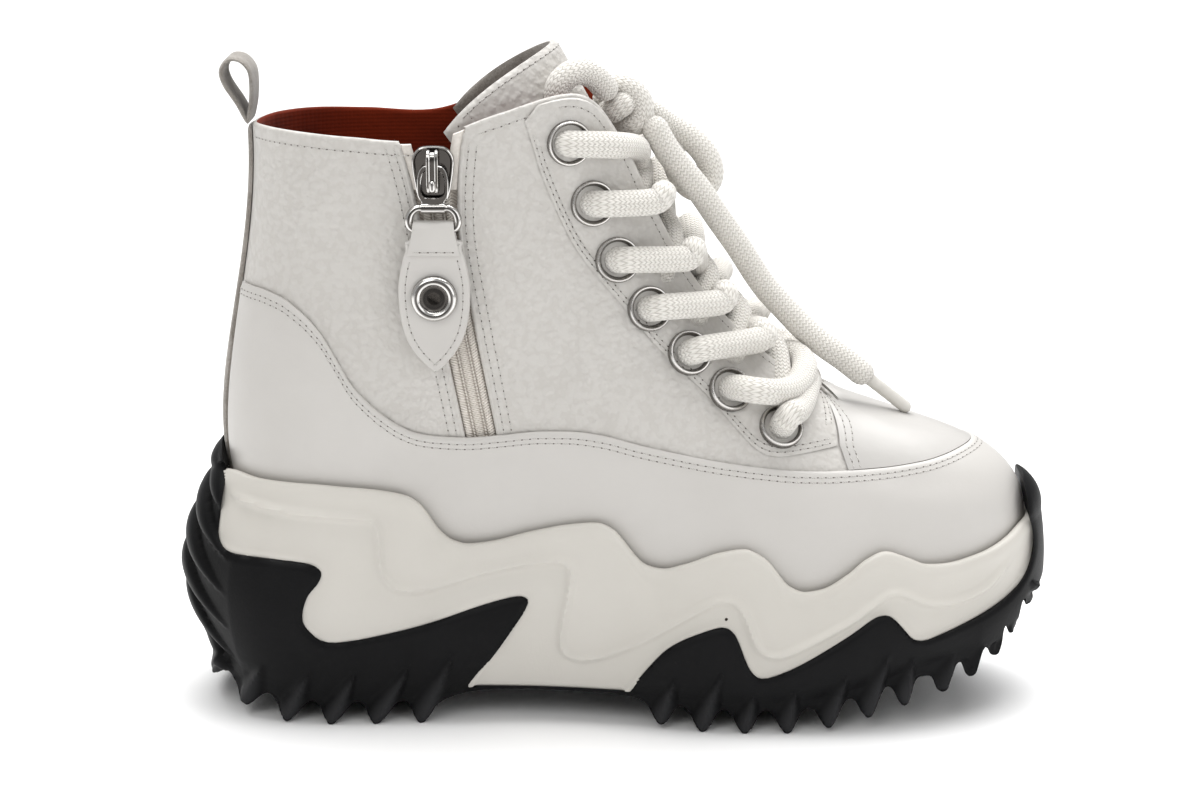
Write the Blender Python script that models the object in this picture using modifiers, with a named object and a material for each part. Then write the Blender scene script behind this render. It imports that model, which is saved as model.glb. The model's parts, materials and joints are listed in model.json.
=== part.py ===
"""Left ankle boot on a thick platform sole: a hollow upper on a last, side zip, laces and cleated sole.

The toe points to +X, the wearer's left is +Y, and the inner side of the foot, with the zip, faces -Y.
Lengths are in millimetres and MM turns them into metres where a mesh is made.
"""

import math

import bmesh
import bpy
import numpy as np
from mathutils import Matrix, Vector
from mathutils.bvhtree import BVHTree

MM = 0.001

# Driving dimensions of the upper and its overlays.
WALL = 2.2
GAP = 0.3
OVERLAY = 1.2
SKIN = GAP + OVERLAY
FIT = 0.5
STAY_BAND = 27.0

# Driving dimensions of the sole.
LIP = 2.6
RUBBER = 2.2
RUBBER_OVER_UPPER = 1.2
BELLY_SHARE = 0.42
HEEL_LUGS = {"first": -60.0, "pitch": -14.1, "count": 6, "tighten": 0.55}
FORE_LUGS = {"first": 14.8, "pitch": 13.1, "count": 10, "tighten": -0.55}
GROUND = 0.0

SIDES = {"medial": -1.0, "lateral": 1.0}
STEPS_PER_ROW = 2

# One row for each section of the last, from the heel centre to the toe centre. foot_ is the feather line,
# flare and rise shape the rib's foot, high_ its head, and top_ is the collar and throat edge.
LAST_COLUMNS = (
    "foot_x", "foot_z", "medial", "lateral", "flare", "rise",
    "high_x", "high_y", "high_z", "top_x", "top_z", "top_half",
    "sole_x", "sole_medial", "sole_lateral", "tuck",
)
LAST_ROWS = (
    (-115.0, 60.0, 0.0, 0.0, 20.0, 30.0, 2.0, 0.0, -50.0, -112.2, 183.0, 0.0, -136.2, 0.0, 0.0, 6.0),
    (-110.5, 60.0, 17.0, 17.5, 15.0, 30.0, 1.0, -1.0, -50.0, -107.5, 183.6, 15.5, -129.5, 22.5, 23.0, 6.0),
    (-98.0, 59.5, 26.5, 27.5, 11.0, 30.0, 0.0, -1.5, -48.0, -96.0, 183.5, 27.5, -113.0, 37.0, 38.0, 5.0),
    (-83.0, 58.5, 29.0, 30.5, 10.0, 30.0, -1.0, -2.0, -46.0, -79.0, 182.6, 33.5, -91.0, 41.5, 42.5, 4.0),
    (-68.0, 56.5, 29.0, 31.5, 10.0, 29.0, -4.0, -2.0, -44.0, -57.0, 182.0, 35.0, -69.0, 41.0, 43.0, 4.0),
    (-54.0, 53.5, 28.0, 32.0, 10.0, 28.0, -8.0, -1.0, -42.0, -35.0, 189.5, 34.0, -53.0, 39.5, 43.0, 4.0),
    (-40.0, 50.5, 27.5, 33.0, 10.0, 28.0, -14.0, 3.0, -36.0, -10.5, 195.0, 28.5, -38.0, 39.0, 43.5, 4.0),
    (-24.0, 47.5, 28.5, 35.5, 10.0, 28.0, -18.0, 9.0, -26.0, 2.0, 181.5, 22.0, -20.0, 40.0, 45.5, 4.0),
    (-4.0, 44.5, 31.5, 39.0, 10.0, 28.0, -19.0, 13.0, -20.0, 12.0, 160.5, 20.0, 0.0, 43.0, 48.5, 4.0),
    (18.0, 41.0, 36.0, 42.5, 10.0, 27.0, -17.0, 15.0, -17.0, 24.5, 138.0, 18.0, 20.0, 47.0, 51.5, 4.0),
    (42.0, 37.5, 40.0, 43.0, 9.0, 26.0, -14.0, 18.0, -14.0, 40.0, 119.5, 15.5, 42.0, 50.0, 51.5, 4.0),
    (66.0, 35.5, 39.0, 40.0, 9.0, 26.0, -4.0, 22.0, -11.0, 56.0, 105.5, 13.0, 66.0, 49.0, 48.5, 4.5),
    (90.0, 36.0, 33.5, 33.0, 10.0, 27.0, 16.0, 23.0, -9.0, 66.0, 98.0, 9.5, 92.0, 44.5, 43.0, 5.5),
    (110.5, 38.5, 26.0, 23.0, 11.0, 30.0, 32.0, 18.0, -9.0, 69.5, 95.5, 6.5, 115.0, 33.0, 30.0, 7.0),
    (122.5, 41.0, 14.5, 10.0, 11.0, 33.0, 41.0, 9.0, -9.0, 71.2, 94.3, 3.2, 130.0, 19.0, 14.5, 9.0),
    (127.5, 42.5, 2.5, 2.5, 11.0, 35.0, 44.0, 0.0, -9.0, 71.8, 94.0, 0.0, 136.2, 2.0, 2.0, 10.0),
)
TOE_Y = -2.5

# The seams, as the height z of the line at each x, seen from the side.
GUARD_LINE = (
    (-125.0, 142.0), (-112.0, 140.2), (-104.0, 138.0), (-97.0, 133.5), (-90.0, 126.0), (-84.0, 116.5),
    (-79.0, 107.5), (-72.0, 100.0), (-63.0, 95.2), (-53.0, 92.6), (-34.0, 92.6), (-16.0, 93.2), (-4.0, 92.2),
    (12.0, 87.8), (28.0, 84.2), (46.0, 81.6), (64.0, 80.0), (83.0, 79.8), (100.0, 79.6), (112.0, 80.4),
    (118.0, 81.5),
)
MIDSOLE_EDGE = (
    (-137.0, 74.0), (-129.5, 77.2), (-122.0, 76.6), (-107.0, 76.6), (-91.0, 75.9), (-79.6, 75.3), (-69.0, 74.1),
    (-64.6, 73.0), (-60.6, 70.6), (-53.0, 61.4), (-49.0, 58.2), (-44.0, 56.8), (-38.0, 57.3), (-20.0, 61.6),
    (-9.0, 64.0), (0.5, 65.1), (5.0, 63.5), (14.5, 52.2), (18.5, 51.3), (25.0, 53.1), (36.0, 57.5), (42.5, 58.6),
    (48.0, 55.9), (54.5, 46.8), (59.0, 44.9), (64.0, 45.6), (72.4, 50.0), (79.0, 54.6), (85.0, 56.7),
    (92.0, 54.3), (98.0, 51.8), (104.0, 51.4), (115.0, 52.9), (127.0, 56.2), (131.5, 58.2), (136.5, 60.0),
)

# The underside: lug tips, the groove between them, and the midsole's own base.
TREAD_COLUMNS = ("x", "tip", "groove", "base")
TREAD_ROWS = (
    (-139.0, 13.0, 16.5, 23.0),
    (-131.0, 8.0, 13.0, 19.0),
    (-122.0, 5.5, 11.0, 16.0),
    (-112.0, 2.4, 8.4, 12.5),
    (-101.0, 0.4, 6.6, 10.0),
    (-91.0, GROUND, 6.2, 9.4),
    (-50.0, GROUND, 6.2, 9.4),
    (-42.0, 10.4, 10.4, 12.2),
    (0.0, 9.6, 9.6, 11.6),
    (12.0, 2.4, 8.0, 11.0),
    (26.0, GROUND, 6.4, 9.6),
    (54.0, GROUND, 6.4, 9.6),
    (67.0, 1.4, 8.0, 11.2),
    (80.0, 4.2, 11.0, 14.2),
    (92.0, 7.2, 14.2, 17.5),
    (104.0, 10.4, 17.6, 21.0),
    (114.0, 14.4, 21.6, 25.0),
    (124.0, 19.0, 26.0, 29.5),
    (132.0, 23.0, 29.0, 32.5),
    (139.0, 26.0, 31.0, 34.5),
)

# The upper edge of the rubber on each side, from the heel's back to the arch and from there to the toe.
HEEL_RUBBER_EDGE = (
    (-127.0, 86.0), (-120.8, 78.0), (-122.6, 65.0), (-123.6, 57.5), (-120.6, 53.4), (-109.0, 53.8),
    (-93.5, 52.8), (-89.6, 50.2), (-90.6, 46.8), (-94.4, 42.6), (-96.2, 37.0), (-96.0, 32.6), (-90.1, 26.8),
    (-78.6, 28.0), (-56.8, 33.0), (-38.1, 39.4), (-28.4, 42.0), (-25.4, 39.8), (-33.6, 27.4), (-44.6, 12.4),
)
FORE_RUBBER_EDGE = (
    (4.6, 12.6), (14.5, 25.2), (20.6, 29.8), (32.3, 34.9), (35.6, 34.6), (38.1, 32.0), (42.0, 20.8),
    (46.0, 17.2), (57.7, 22.6), (72.9, 31.7), (80.5, 37.4), (84.6, 38.0), (87.8, 35.4), (94.0, 27.4),
    (104.6, 30.4), (115.5, 33.8), (122.5, 36.6), (128.0, 40.0), (131.6, 44.2), (133.4, 49.5), (133.4, 54.5),
    (131.8, 60.0), (130.6, 67.5), (129.8, 73.0),
)


def line_at(points, x):
    """The smooth line through (x, z) points: cubic, with slopes limited so that it never overshoots."""
    xs, zs = np.array(points, float).T
    steps = np.diff(xs)
    rises = np.diff(zs) / steps
    slopes = np.zeros(len(xs))
    slopes[0], slopes[-1] = rises[0], rises[-1]
    for i in range(1, len(xs) - 1):
        if rises[i - 1] * rises[i] > 0:
            slopes[i] = 2 * rises[i - 1] * rises[i] / (rises[i - 1] + rises[i])
    i = int(np.clip(np.searchsorted(xs, x) - 1, 0, len(steps) - 1))
    f = min(max((x - xs[i]) / steps[i], 0.0), 1.0)
    bend = steps[i] * ((1 - f) * slopes[i] - f * slopes[i + 1])
    bow = zs[i + 1] - zs[i]
    cubic = f * f * (3 - 2 * f)
    return zs[i] + bow * cubic + bend * f * (1 - f)


def tread_at(x, name):
    return line_at([(row[0], row[TREAD_COLUMNS.index(name)]) for row in TREAD_ROWS], x)


def closed_loop(rows):
    """The table's rows as one closed loop of heel, medial side, toe and lateral side."""
    def section(row, side):
        named = dict(zip(LAST_COLUMNS, row))
        width = named["medial"] if side < 0 else named["lateral"]
        sole = named["sole_medial"] if side < 0 else named["sole_lateral"]
        if row is rows[-1]:
            side, width, sole = -1.0, -TOE_Y, -TOE_Y
        foot = (named["foot_x"], side * width, named["foot_z"])
        high = (named["high_x"], side * named["high_y"], named["high_z"])
        top = (named["top_x"], side * named["top_half"], named["top_z"])
        return (*foot, *high, *top, named["flare"], named["rise"], named["sole_x"], side * sole, named["tuck"])

    medial = [section(row, -1.0) for row in rows]
    lateral = [section(row, 1.0) for row in rows]
    return np.array(medial + lateral[-2:0:-1])


LOOP = closed_loop(LAST_ROWS)
LAST_ROW = len(LAST_ROWS) - 1
TURN = len(LOOP)


def section_at(s):
    """The last's section at s rows around the loop, on a Catmull-Rom spline."""
    i = math.floor(s)
    f = s - i
    a, b, c, d = (LOOP[(i + k) % TURN] for k in (-1, 0, 1, 2))
    return b + 0.5 * f * (c - a + f * (2 * a - 5 * b + 4 * c - d + f * (3 * (b - c) + d - a)))


def outward(s, first):
    """Level unit normal, pointing out, of the loop whose x and y start at this column."""
    ahead, behind = section_at(s + 0.05), section_at(s - 0.05)
    dx, dy = ahead[first] - behind[first], ahead[first + 1] - behind[first + 1]
    return np.array((dy, -dx, 0.0)) / math.hypot(dx, dy)


def rib_point(s, t):
    """A point of the upper's outer face: t runs up the rib at s, from the feather line to the top edge."""
    row = section_at(s)
    foot, high, top = row[0:3], row[3:6], row[6:9]
    low = foot + outward(s, 0) * row[9] + np.array((0.0, 0.0, row[10]))
    u = 1 - t
    return u**3 * foot + 3 * u * u * t * low + 3 * u * t * t * (top + high) + t**3 * top


def rib_normal(s, t):
    around = rib_point(s + 0.04, t) - rib_point(s - 0.04, t)
    up = rib_point(s, min(t + 0.01, 1.0)) - rib_point(s, max(t - 0.01, 0.0))
    normal = np.cross(around, up)
    return normal / np.linalg.norm(normal)


def off_rib(s, t, distance):
    return rib_point(s, t) + rib_normal(s, t) * distance


def solve(function, low, high):
    """Where the function changes sign between low and high."""
    rising = function(high) > function(low)
    for _ in range(30):
        middle = 0.5 * (low + high)
        if (function(middle) > 0) == rising:
            high = middle
        else:
            low = middle
    return 0.5 * (low + high)


def t_at_height(s, z):
    return solve(lambda t: rib_point(s, t)[2] - z, 0.0, 0.75)


def guard_t(s):
    """How far up the rib the mudguard's top edge lies."""
    def beyond(t):
        point = rib_point(s, t)
        return point[2] - line_at(GUARD_LINE, point[0])

    return solve(beyond, 0.1, 0.97)


def stay_width(s):
    """Width of the eyestay band below the top edge: it grows in past the collar and ends at the vamp."""
    side = min(s, TURN - s)
    return STAY_BAND * min(max((side - 5.2) / 1.6, 0.0), 1.0)


def stay_t(s):
    """The rib's parameter at the eyestay's back seam."""
    top = rib_point(s, 1.0)
    width = max(stay_width(s), 5.0)
    return max(solve(lambda t: width - np.linalg.norm(rib_point(s, t) - top), 0.3, 1.0), guard_t(s) + 0.06)


def band_lines(s):
    """The rib's grid lines: up to the mudguard's edge, up to the eyestay's seam, and up to the top."""
    guard, stay = guard_t(s), stay_t(s)
    return ([guard * k / GUARD_STEPS for k in range(GUARD_STEPS)]
            + [guard + (stay - guard) * k / QUARTER_STEPS for k in range(QUARTER_STEPS)]
            + [stay + (1 - stay) * k / STAY_STEPS for k in range(STAY_STEPS + 1)])


GUARD_STEPS = 4
QUARTER_STEPS = 2
STAY_STEPS = 2
STATIONS = [k / STEPS_PER_ROW for k in range(TURN * STEPS_PER_ROW)]
LINES = {s: band_lines(s) for s in STATIONS}


# ---- mesh helpers

def collection(name):
    made = bpy.data.collections.new(name)
    bpy.context.scene.collection.children.link(made)
    return made


def material(name, color, roughness, metallic=0.0):
    made = bpy.data.materials.new(name)
    made.use_nodes = True
    shader = made.node_tree.nodes["Principled BSDF"]
    shader.inputs["Base Color"].default_value = (*color, 1.0)
    shader.inputs["Roughness"].default_value = roughness
    shader.inputs["Metallic"].default_value = metallic
    return made


def mesh_object(name, points, faces, look=None, helper=False):
    """A new object from points in millimetres."""
    mesh = bpy.data.meshes.new(name)
    mesh.from_pydata([Vector(p) * MM for p in points], [], faces)
    mesh.validate()
    if look:
        mesh.materials.append(look)
    made = bpy.data.objects.new(name, mesh)
    (CUTTERS if helper else BOOT).objects.link(made)
    if helper:
        made.hide_render = True
        made.display_type = "WIRE"
    return made


def grid_faces(rows, columns, closed):
    """Triangles of a grid whose points are listed row by row, all cut along the same diagonal."""
    faces = []
    for r in range(rows - 1):
        for c in range(columns if closed else columns - 1):
            here, right = r * columns + c, r * columns + (c + 1) % columns
            faces += [(here, right, right + columns), (here, right + columns, here + columns)]
    return faces


def ladder(first, count):
    """Triangles across a closed ring from side to side, so that the cap follows the ring's height."""
    faces = []
    for i in range(count // 2):
        near, ahead, far, back = i, i + 1, count - i - 1, (count - i) % count
        faces += [face for face in ((near, ahead, far), (near, far, back)) if len(set(face)) == 3]
    return [tuple(first + corner for corner in face) for face in faces]


def solidify(obj, thickness, offset):
    modifier = obj.modifiers.new("wall", "SOLIDIFY")
    modifier.thickness = thickness * MM
    modifier.offset = offset
    modifier.use_even_offset = True
    return modifier


def boolean(obj, cutter, operation):
    modifier = obj.modifiers.new(cutter.name, "BOOLEAN")
    modifier.operation = operation
    modifier.object = cutter


def ring_solid(name, rings, look=None, helper=False):
    """A closed solid from rings of equal length, listed from the bottom cap to the top cap."""
    count = len(rings[0])
    points = [p for ring in rings for p in ring]
    top = (len(rings) - 1) * count
    faces = grid_faces(len(rings), count, True)
    faces += [face[::-1] for face in ladder(0, count)]
    faces += ladder(top, count)
    return mesh_object(name, points, faces, look, helper)


# ---- the sole

def wall_point(s, share, grow):
    """A point of the midsole's outer wall: share runs from its base to its wavy top edge."""
    row = section_at(s)
    belly = np.array((row[11], row[12], 0.0))
    normal = outward(s, 11)
    low, high = tread_at(row[11], "base"), line_at(MIDSOLE_EDGE, row[11])
    height = low + (high - low) * share
    if share < BELLY_SHARE:
        point = belly - normal * row[13] * (1 - share / BELLY_SHARE) ** 2
    else:
        edge = off_rib(s, t_at_height(s, high), SKIN + FIT) + normal * LIP
        ease = ((share - BELLY_SHARE) / (1 - BELLY_SHARE)) ** 1.7
        point = belly + (edge - belly) * ease
    point[2] = height
    return point + normal * grow


def wall_rings(shares, grow):
    return [[wall_point(s, share, grow) for s in STATIONS] for share in shares]


def upper_ring(rise, distance):
    """A ring on the upper's face, this far above the midsole's edge and this far off the face."""
    ring = []
    for s in STATIONS:
        edge = line_at(MIDSOLE_EDGE, section_at(s)[11])
        ring.append(off_rib(s, t_at_height(s, edge + rise), distance))
    return ring


def floor_ring(grow, drop):
    """The feather line's ring, this far out of it and this far below it."""
    return [section_at(s)[0:3] + outward(s, 0) * grow - np.array((0.0, 0.0, drop)) for s in STATIONS]


def cup_ring(share):
    """A ring of the cup's inner wall: share runs down from the midsole's edge to the floor."""
    ring = []
    for s in STATIONS:
        edge = line_at(MIDSOLE_EDGE, section_at(s)[11])
        ring.append(off_rib(s, t_at_height(s, edge) * (1 - share), SKIN + FIT))
    return ring


WALL_SHARES = (0.0, 0.18, 0.42, 0.72, 1.0)
CUP_SHARES = (0.0, 0.35, 0.7, 1.0)


def midsole():
    base = wall_rings(WALL_SHARES, 0.0)
    cup = [cup_ring(share) for share in CUP_SHARES]
    floor = floor_ring(0.0, GAP)
    rings = base + cup + [floor]
    return ring_solid("midsole", rings, CREAM)


def core_cutter():
    """The space of midsole and upper, which the rubber wraps."""
    rings = wall_rings(WALL_SHARES, GAP)
    rings[0] = [p - np.array((0.0, 0.0, GAP)) for p in rings[0]]
    rings.append([p + np.array((0.0, 0.0, 2 * GAP)) for p in rings[-1]])
    rings += [upper_ring(rise, SKIN + FIT) for rise in (3 * GAP, 8.0, 17.0)]
    return ring_solid("core_cutter", rings, helper=True)


def rubber_block():
    """The rubber's outer form, before the side profile trims it."""
    rings = wall_rings(WALL_SHARES, RUBBER + GAP)
    sunk = [np.array((p[0], p[1], GROUND - 2.0)) for p in rings[0]]
    rings = [sunk] + rings
    rings += [upper_ring(rise, SKIN + FIT + RUBBER_OVER_UPPER) for rise in (5.0, 10.5, 17.0)]
    return ring_solid("outsole", rings, BLACK)


def lug_places(lugs):
    """The x of each lug: even steps that close up where the tread curves away at its end."""
    steady = 4
    return [lugs["first"] + lugs["pitch"] * k + lugs["tighten"] * max(k - steady, 0) ** 2
            for k in range(lugs["count"])]


def lug_profile():
    """The underside from heel to toe: flat-tipped lugs with a groove between each two."""
    profile = [(-143.0, tread_at(-139.0, "groove"))]
    for places in (lug_places(HEEL_LUGS)[::-1], lug_places(FORE_LUGS)):
        for i, x in enumerate(places):
            back = places[i] - places[i - 1] if i else places[1] - places[0]
            ahead = places[i + 1] - places[i] if i + 1 < len(places) else back
            for shift, name in ((-0.42 * back, "groove"), (-1.6, "tip"), (1.6, "tip"), (0.42 * ahead, "groove")):
                profile.append((x + shift, tread_at(x + shift, name)))
    profile.append((143.0, tread_at(139.0, "groove")))
    return profile


def prism(name, outline, y_low, y_high):
    """A side outline, as (x, z) points, swept across the boot."""
    count = len(outline)
    points = [(x, y_low, z) for x, z in outline] + [(x, y_high, z) for x, z in outline]
    sides = [(i, (i + 1) % count, count + (i + 1) % count, count + i) for i in range(count)]
    made = mesh_object(name, points, [tuple(range(count))[::-1], tuple(range(count, 2 * count)), *sides],
                       helper=True)
    face_out(made)
    return made


def face_out(obj):
    work = bmesh.new()
    work.from_mesh(obj.data)
    bmesh.ops.recalc_face_normals(work, faces=work.faces)
    work.to_mesh(obj.data)
    work.free()


def rubber_profile():
    edge = [(-145.0, 87.5), *HEEL_RUBBER_EDGE, *FORE_RUBBER_EDGE, (145.0, 76.0)]
    return edge + lug_profile()[::-1]


def outsole():
    block = rubber_block()
    for i, height in enumerate(CLAW_HEIGHTS):
        boolean(block, claw(i, height), "UNION")
    boolean(block, fangs(), "UNION")
    boolean(block, prism("rubber_profile", rubber_profile(), -70.0, 70.0), "INTERSECT")
    boolean(block, core_cutter(), "DIFFERENCE")
    return block


# ---- the upper

def upper_mesh():
    """The upper's outer face as a grid, one column for each rib."""
    rows = [[rib_point(s, LINES[s][k]) for s in STATIONS] for k in range(len(LINES[0]))]
    points = [p for row in rows for p in row]
    return points, grid_faces(len(rows), len(STATIONS), True)


def upper():
    points, faces = upper_mesh()
    made = mesh_object("upper", points, faces, WHITE)
    solidify(made, WALL, -1.0)
    boolean(made, zip_slot(), "DIFFERENCE")
    return made


def overlay(name, stations, first, last, look):
    """A leather overlay on part of the upper's grid, between two of its lines."""
    lines = range(first, last + 1)
    points = [off_rib(s, rib_lines(s)[k], GAP) for k in lines for s in stations]
    made = mesh_object(name, points, grid_faces(len(lines), len(stations), False), look)
    solidify(made, OVERLAY, 1.0)
    return made


def rib_lines(s):
    return LINES[s % TURN] if s % TURN in LINES else band_lines(s % TURN)


def mudguard():
    edge = 1.0 / STEPS_PER_ROW
    inner = [s for s in STATIONS if edge < s < TURN - edge]
    return overlay("mudguard", [edge + 0.03, *inner, TURN - edge - 0.03], 0, GUARD_STEPS, WHITE)


def backstay():
    edge = 1.0 / STEPS_PER_ROW
    return overlay("backstay", [-edge, 0.0, edge], 0, GUARD_STEPS + QUARTER_STEPS + STAY_STEPS, GREY)


def insole():
    under = floor_ring(-(WALL + 0.6), -0.2)
    over = floor_ring(-(WALL + 0.2), -4.0)
    return ring_solid("insole", [under, over], GREY)


# ---- tubes and turned pieces

def tube(name, points, radii, look=None, helper=False, resolution=1, closed=False):
    """A round tube along points in millimetres, as a mesh with welded caps."""
    data = bpy.data.curves.new(name, "CURVE")
    data.dimensions = "3D"
    data.bevel_depth = MM
    data.bevel_resolution = resolution
    data.use_fill_caps = True
    spline = data.splines.new("POLY")
    spline.points.add(len(points) - 1)
    for place, point, radius in zip(spline.points, points, radii):
        place.co = (*(Vector(point) * MM), 1.0)
        place.radius = radius
    spline.use_cyclic_u = closed
    wire = bpy.data.objects.new(name + "_wire", data)
    CUTTERS.objects.link(wire)
    bpy.context.view_layer.update()
    mesh = bpy.data.meshes.new_from_object(wire.evaluated_get(bpy.context.evaluated_depsgraph_get()))
    bpy.data.objects.remove(wire)
    work = bmesh.new()
    work.from_mesh(mesh)
    bmesh.ops.remove_doubles(work, verts=work.verts, dist=0.01 * MM)
    bmesh.ops.recalc_face_normals(work, faces=work.faces)
    work.to_mesh(mesh)
    work.free()
    if look:
        mesh.materials.append(look)
    made = bpy.data.objects.new(name, mesh)
    (CUTTERS if helper else BOOT).objects.link(made)
    if helper:
        made.hide_render = True
        made.display_type = "WIRE"
    return made


def merged(name, pieces):
    """One helper object that holds several separate helper meshes."""
    work = bmesh.new()
    for piece in pieces:
        work.from_mesh(piece.data)
        bpy.data.objects.remove(piece)
    mesh = bpy.data.meshes.new(name)
    work.to_mesh(mesh)
    work.free()
    made = bpy.data.objects.new(name, mesh)
    CUTTERS.objects.link(made)
    made.hide_render = True
    made.display_type = "WIRE"
    return made


def smooth_path(points, count):
    """Points along a Catmull-Rom curve through a few given points."""
    knots = [np.array(p, float) for p in points]
    knots = [2 * knots[0] - knots[1], *knots, 2 * knots[-1] - knots[-2]]
    path = []
    for k in range(count + 1):
        place = (len(points) - 1) * k / count
        i = min(int(place), len(points) - 2)
        f = place - i
        a, b, c, d = knots[i:i + 4]
        path.append(b + 0.5 * f * (c - a + f * (2 * a - 5 * b + 4 * c - d + f * (3 * (b - c) + d - a))))
    return path


def turned(name, profile, steps, look):
    """A closed (radius, height) profile turned about the local Z axis."""
    count = len(profile)
    points = [(r, 0.0, z) for r, z in profile]
    made = mesh_object(name, points, [], look)
    made.data.edges.add(count)
    for i in range(count):
        made.data.edges[i].vertices = (i, (i + 1) % count)
    screw = made.modifiers.new("turn", "SCREW")
    screw.steps = steps
    screw.render_steps = steps
    screw.use_merge_vertices = True
    screw.merge_threshold = 0.0001
    return made


# ---- rubber claws at the heel and fangs above the lugs

CLAW_HEIGHTS = (23.0, 34.0, 45.5, 57.0, 68.0, 78.5)
CLAW_REACH = 1.75
CLAW_DROP = 21.0
CLAW_RADIUS = 4.4
CLAW_SUNK = 3.0
FANG_RADIUS = 4.4
FANG_RISE = 25.0


def rubber_face(s, z):
    """A point of the rubber's outer face at this height."""
    x = section_at(s)[11]
    low, high = tread_at(x, "base"), line_at(MIDSOLE_EDGE, x)
    if z < high:
        return wall_point(s, max(z - low, 0.0) / (high - low), RUBBER + GAP)
    return off_rib(s, t_at_height(s, z), SKIN + FIT + RUBBER_OVER_UPPER)


def claw(number, height):
    """A rib across the heel's back that sweeps down to a point on each side."""
    points, radii = [], []
    for k in range(-4, 5):
        share = abs(k) / 4
        s = CLAW_REACH * k / 4
        face = rubber_face(s, height - CLAW_DROP * share**1.4)
        points.append(face - outward(s, 11) * CLAW_SUNK)
        radii.append(CLAW_RADIUS - (CLAW_RADIUS - 1.6) * share**1.5)
    return tube(f"claw_{number}", points, radii, helper=True)


def side_station(x, side):
    """Where around the loop the sole's outline reaches this x on one side."""
    if side < 0:
        return solve(lambda s: section_at(s)[11] - x, 0.0, LAST_ROW)
    return TURN - solve(lambda s: section_at(TURN - s)[11] - x, 0.0, LAST_ROW)


def fang(x, side, number):
    """The tapered ridge that rises from one lug up the side of the sole."""
    s = side_station(x, side)
    normal = outward(s, 11)
    tip, base = tread_at(x, "tip"), wall_point(s, 0.0, RUBBER)
    low = base - normal * 2.4
    foot = (low[0], low[1], tip + 0.5)
    belly = base - normal * 2.2
    top = rubber_face(s, tip + FANG_RISE) - normal * 1.2
    middle = (belly[0], belly[1], tip + 7.0)
    return tube(f"fang_{number}", (foot, middle, top), (1.7, FANG_RADIUS, 0.5), helper=True, resolution=0)


def fangs():
    places = [(x, side) for x in lug_places(HEEL_LUGS) + lug_places(FORE_LUGS) for side in (-1.0, 1.0)]
    return merged("fangs", [fang(x, side, i) for i, (x, side) in enumerate(places)])


# ---- the tongue

TONGUE_COLUMNS = ("x", "z", "half", "depth")
TONGUE_ROWS = (
    (76.0, 86.6, 12.0, 3.0),
    (66.0, 92.0, 16.0, 4.5),
    (53.0, 102.5, 20.0, 7.0),
    (37.0, 117.0, 23.0, 10.0),
    (21.0, 135.8, 25.0, 14.0),
    (8.4, 158.5, 26.5, 22.0),
    (-1.7, 179.4, 27.5, 33.0),
    (-11.0, 197.0, 28.0, 40.0),
    (-17.6, 209.4, 28.0, 42.0),
)
TONGUE_TURN = math.radians(80.0)
TONGUE_THICK = 3.0
TONGUE_CORNER = 0.06
TONGUE_ACROSS = 8
TONGUE_ALONG = 12


TONGUE_SECTIONS = smooth_path(TONGUE_ROWS, (len(TONGUE_ROWS) - 1) * 4)


def tongue_point(along, across):
    """The tongue's front face: along runs over its rows, across from -1 to 1. Its top corners are rounded."""
    row = TONGUE_SECTIONS
    place = min(max(along, 0.0), 1.0) * (1 - TONGUE_CORNER * abs(across) ** 5) * (len(row) - 1)
    i = min(int(place), len(row) - 2)
    x, z, half, depth = row[i] + (row[i + 1] - row[i]) * (place - i)
    run = row[min(i + 2, len(row) - 1)] - row[max(i - 1, 0)]
    length = math.hypot(run[0], run[1])
    inward = (-run[1] / length, run[0] / length)
    angle = across * TONGUE_TURN
    sag = depth * (1 - math.cos(angle)) / (1 - math.cos(TONGUE_TURN))
    return np.array((x + inward[0] * sag, half * math.sin(angle) / math.sin(TONGUE_TURN), z + inward[1] * sag))


def tongue():
    points = [tongue_point(r / TONGUE_ALONG, 2 * c / TONGUE_ACROSS - 1)
              for r in range(TONGUE_ALONG + 1) for c in range(TONGUE_ACROSS + 1)]
    made = mesh_object("tongue", points, grid_faces(TONGUE_ALONG + 1, TONGUE_ACROSS + 1, False), WHITE)
    solidify(made, TONGUE_THICK, -1.0)
    return made


# ---- eyestays, eyelets and the pull loop

STAY_ENDS = (5.5, 12.0)
EYELETS = (
    (-13.5, 181.6), (-6.5, 162.6), (1.2, 145.2), (10.8, 129.9), (23.1, 115.8), (35.9, 104.2), (51.6, 92.8),
)
EYELET_PROFILE = ((4.4, GAP), (4.9, 1.8), (6.3, 1.6), (7.0, GAP))
LOOP_PATH = (
    (-113.0, 183.9), (-116.6, 190.0), (-120.4, 196.0), (-121.3, 200.6), (-118.6, 204.4),
    (-114.4, 204.2), (-111.2, 200.6), (-110.6, 195.0), (-111.2, 188.5),
)
LOOP_HALF_WIDTH = 8.0
LOOP_THICK = 1.5


def eyestay(name, side):
    stations = [s for s in STATIONS if STAY_ENDS[0] <= s <= STAY_ENDS[1]]
    if side > 0:
        stations = [TURN - s for s in reversed(stations)]
    first = GUARD_STEPS + QUARTER_STEPS
    return overlay(name, stations, first, first + STAY_STEPS, WHITE)


def skin_tree():
    points, faces = upper_mesh()
    return BVHTree.FromPolygons([Vector(p) for p in points], faces)


def skin(x, z, side):
    """The upper's outer face seen from one side: its point at (x, z) and its normal."""
    point, normal, _, _ = SKIN_TREE.ray_cast(Vector((x, side * 200.0, z)), Vector((0.0, -side, 0.0)))
    return point, normal


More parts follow.
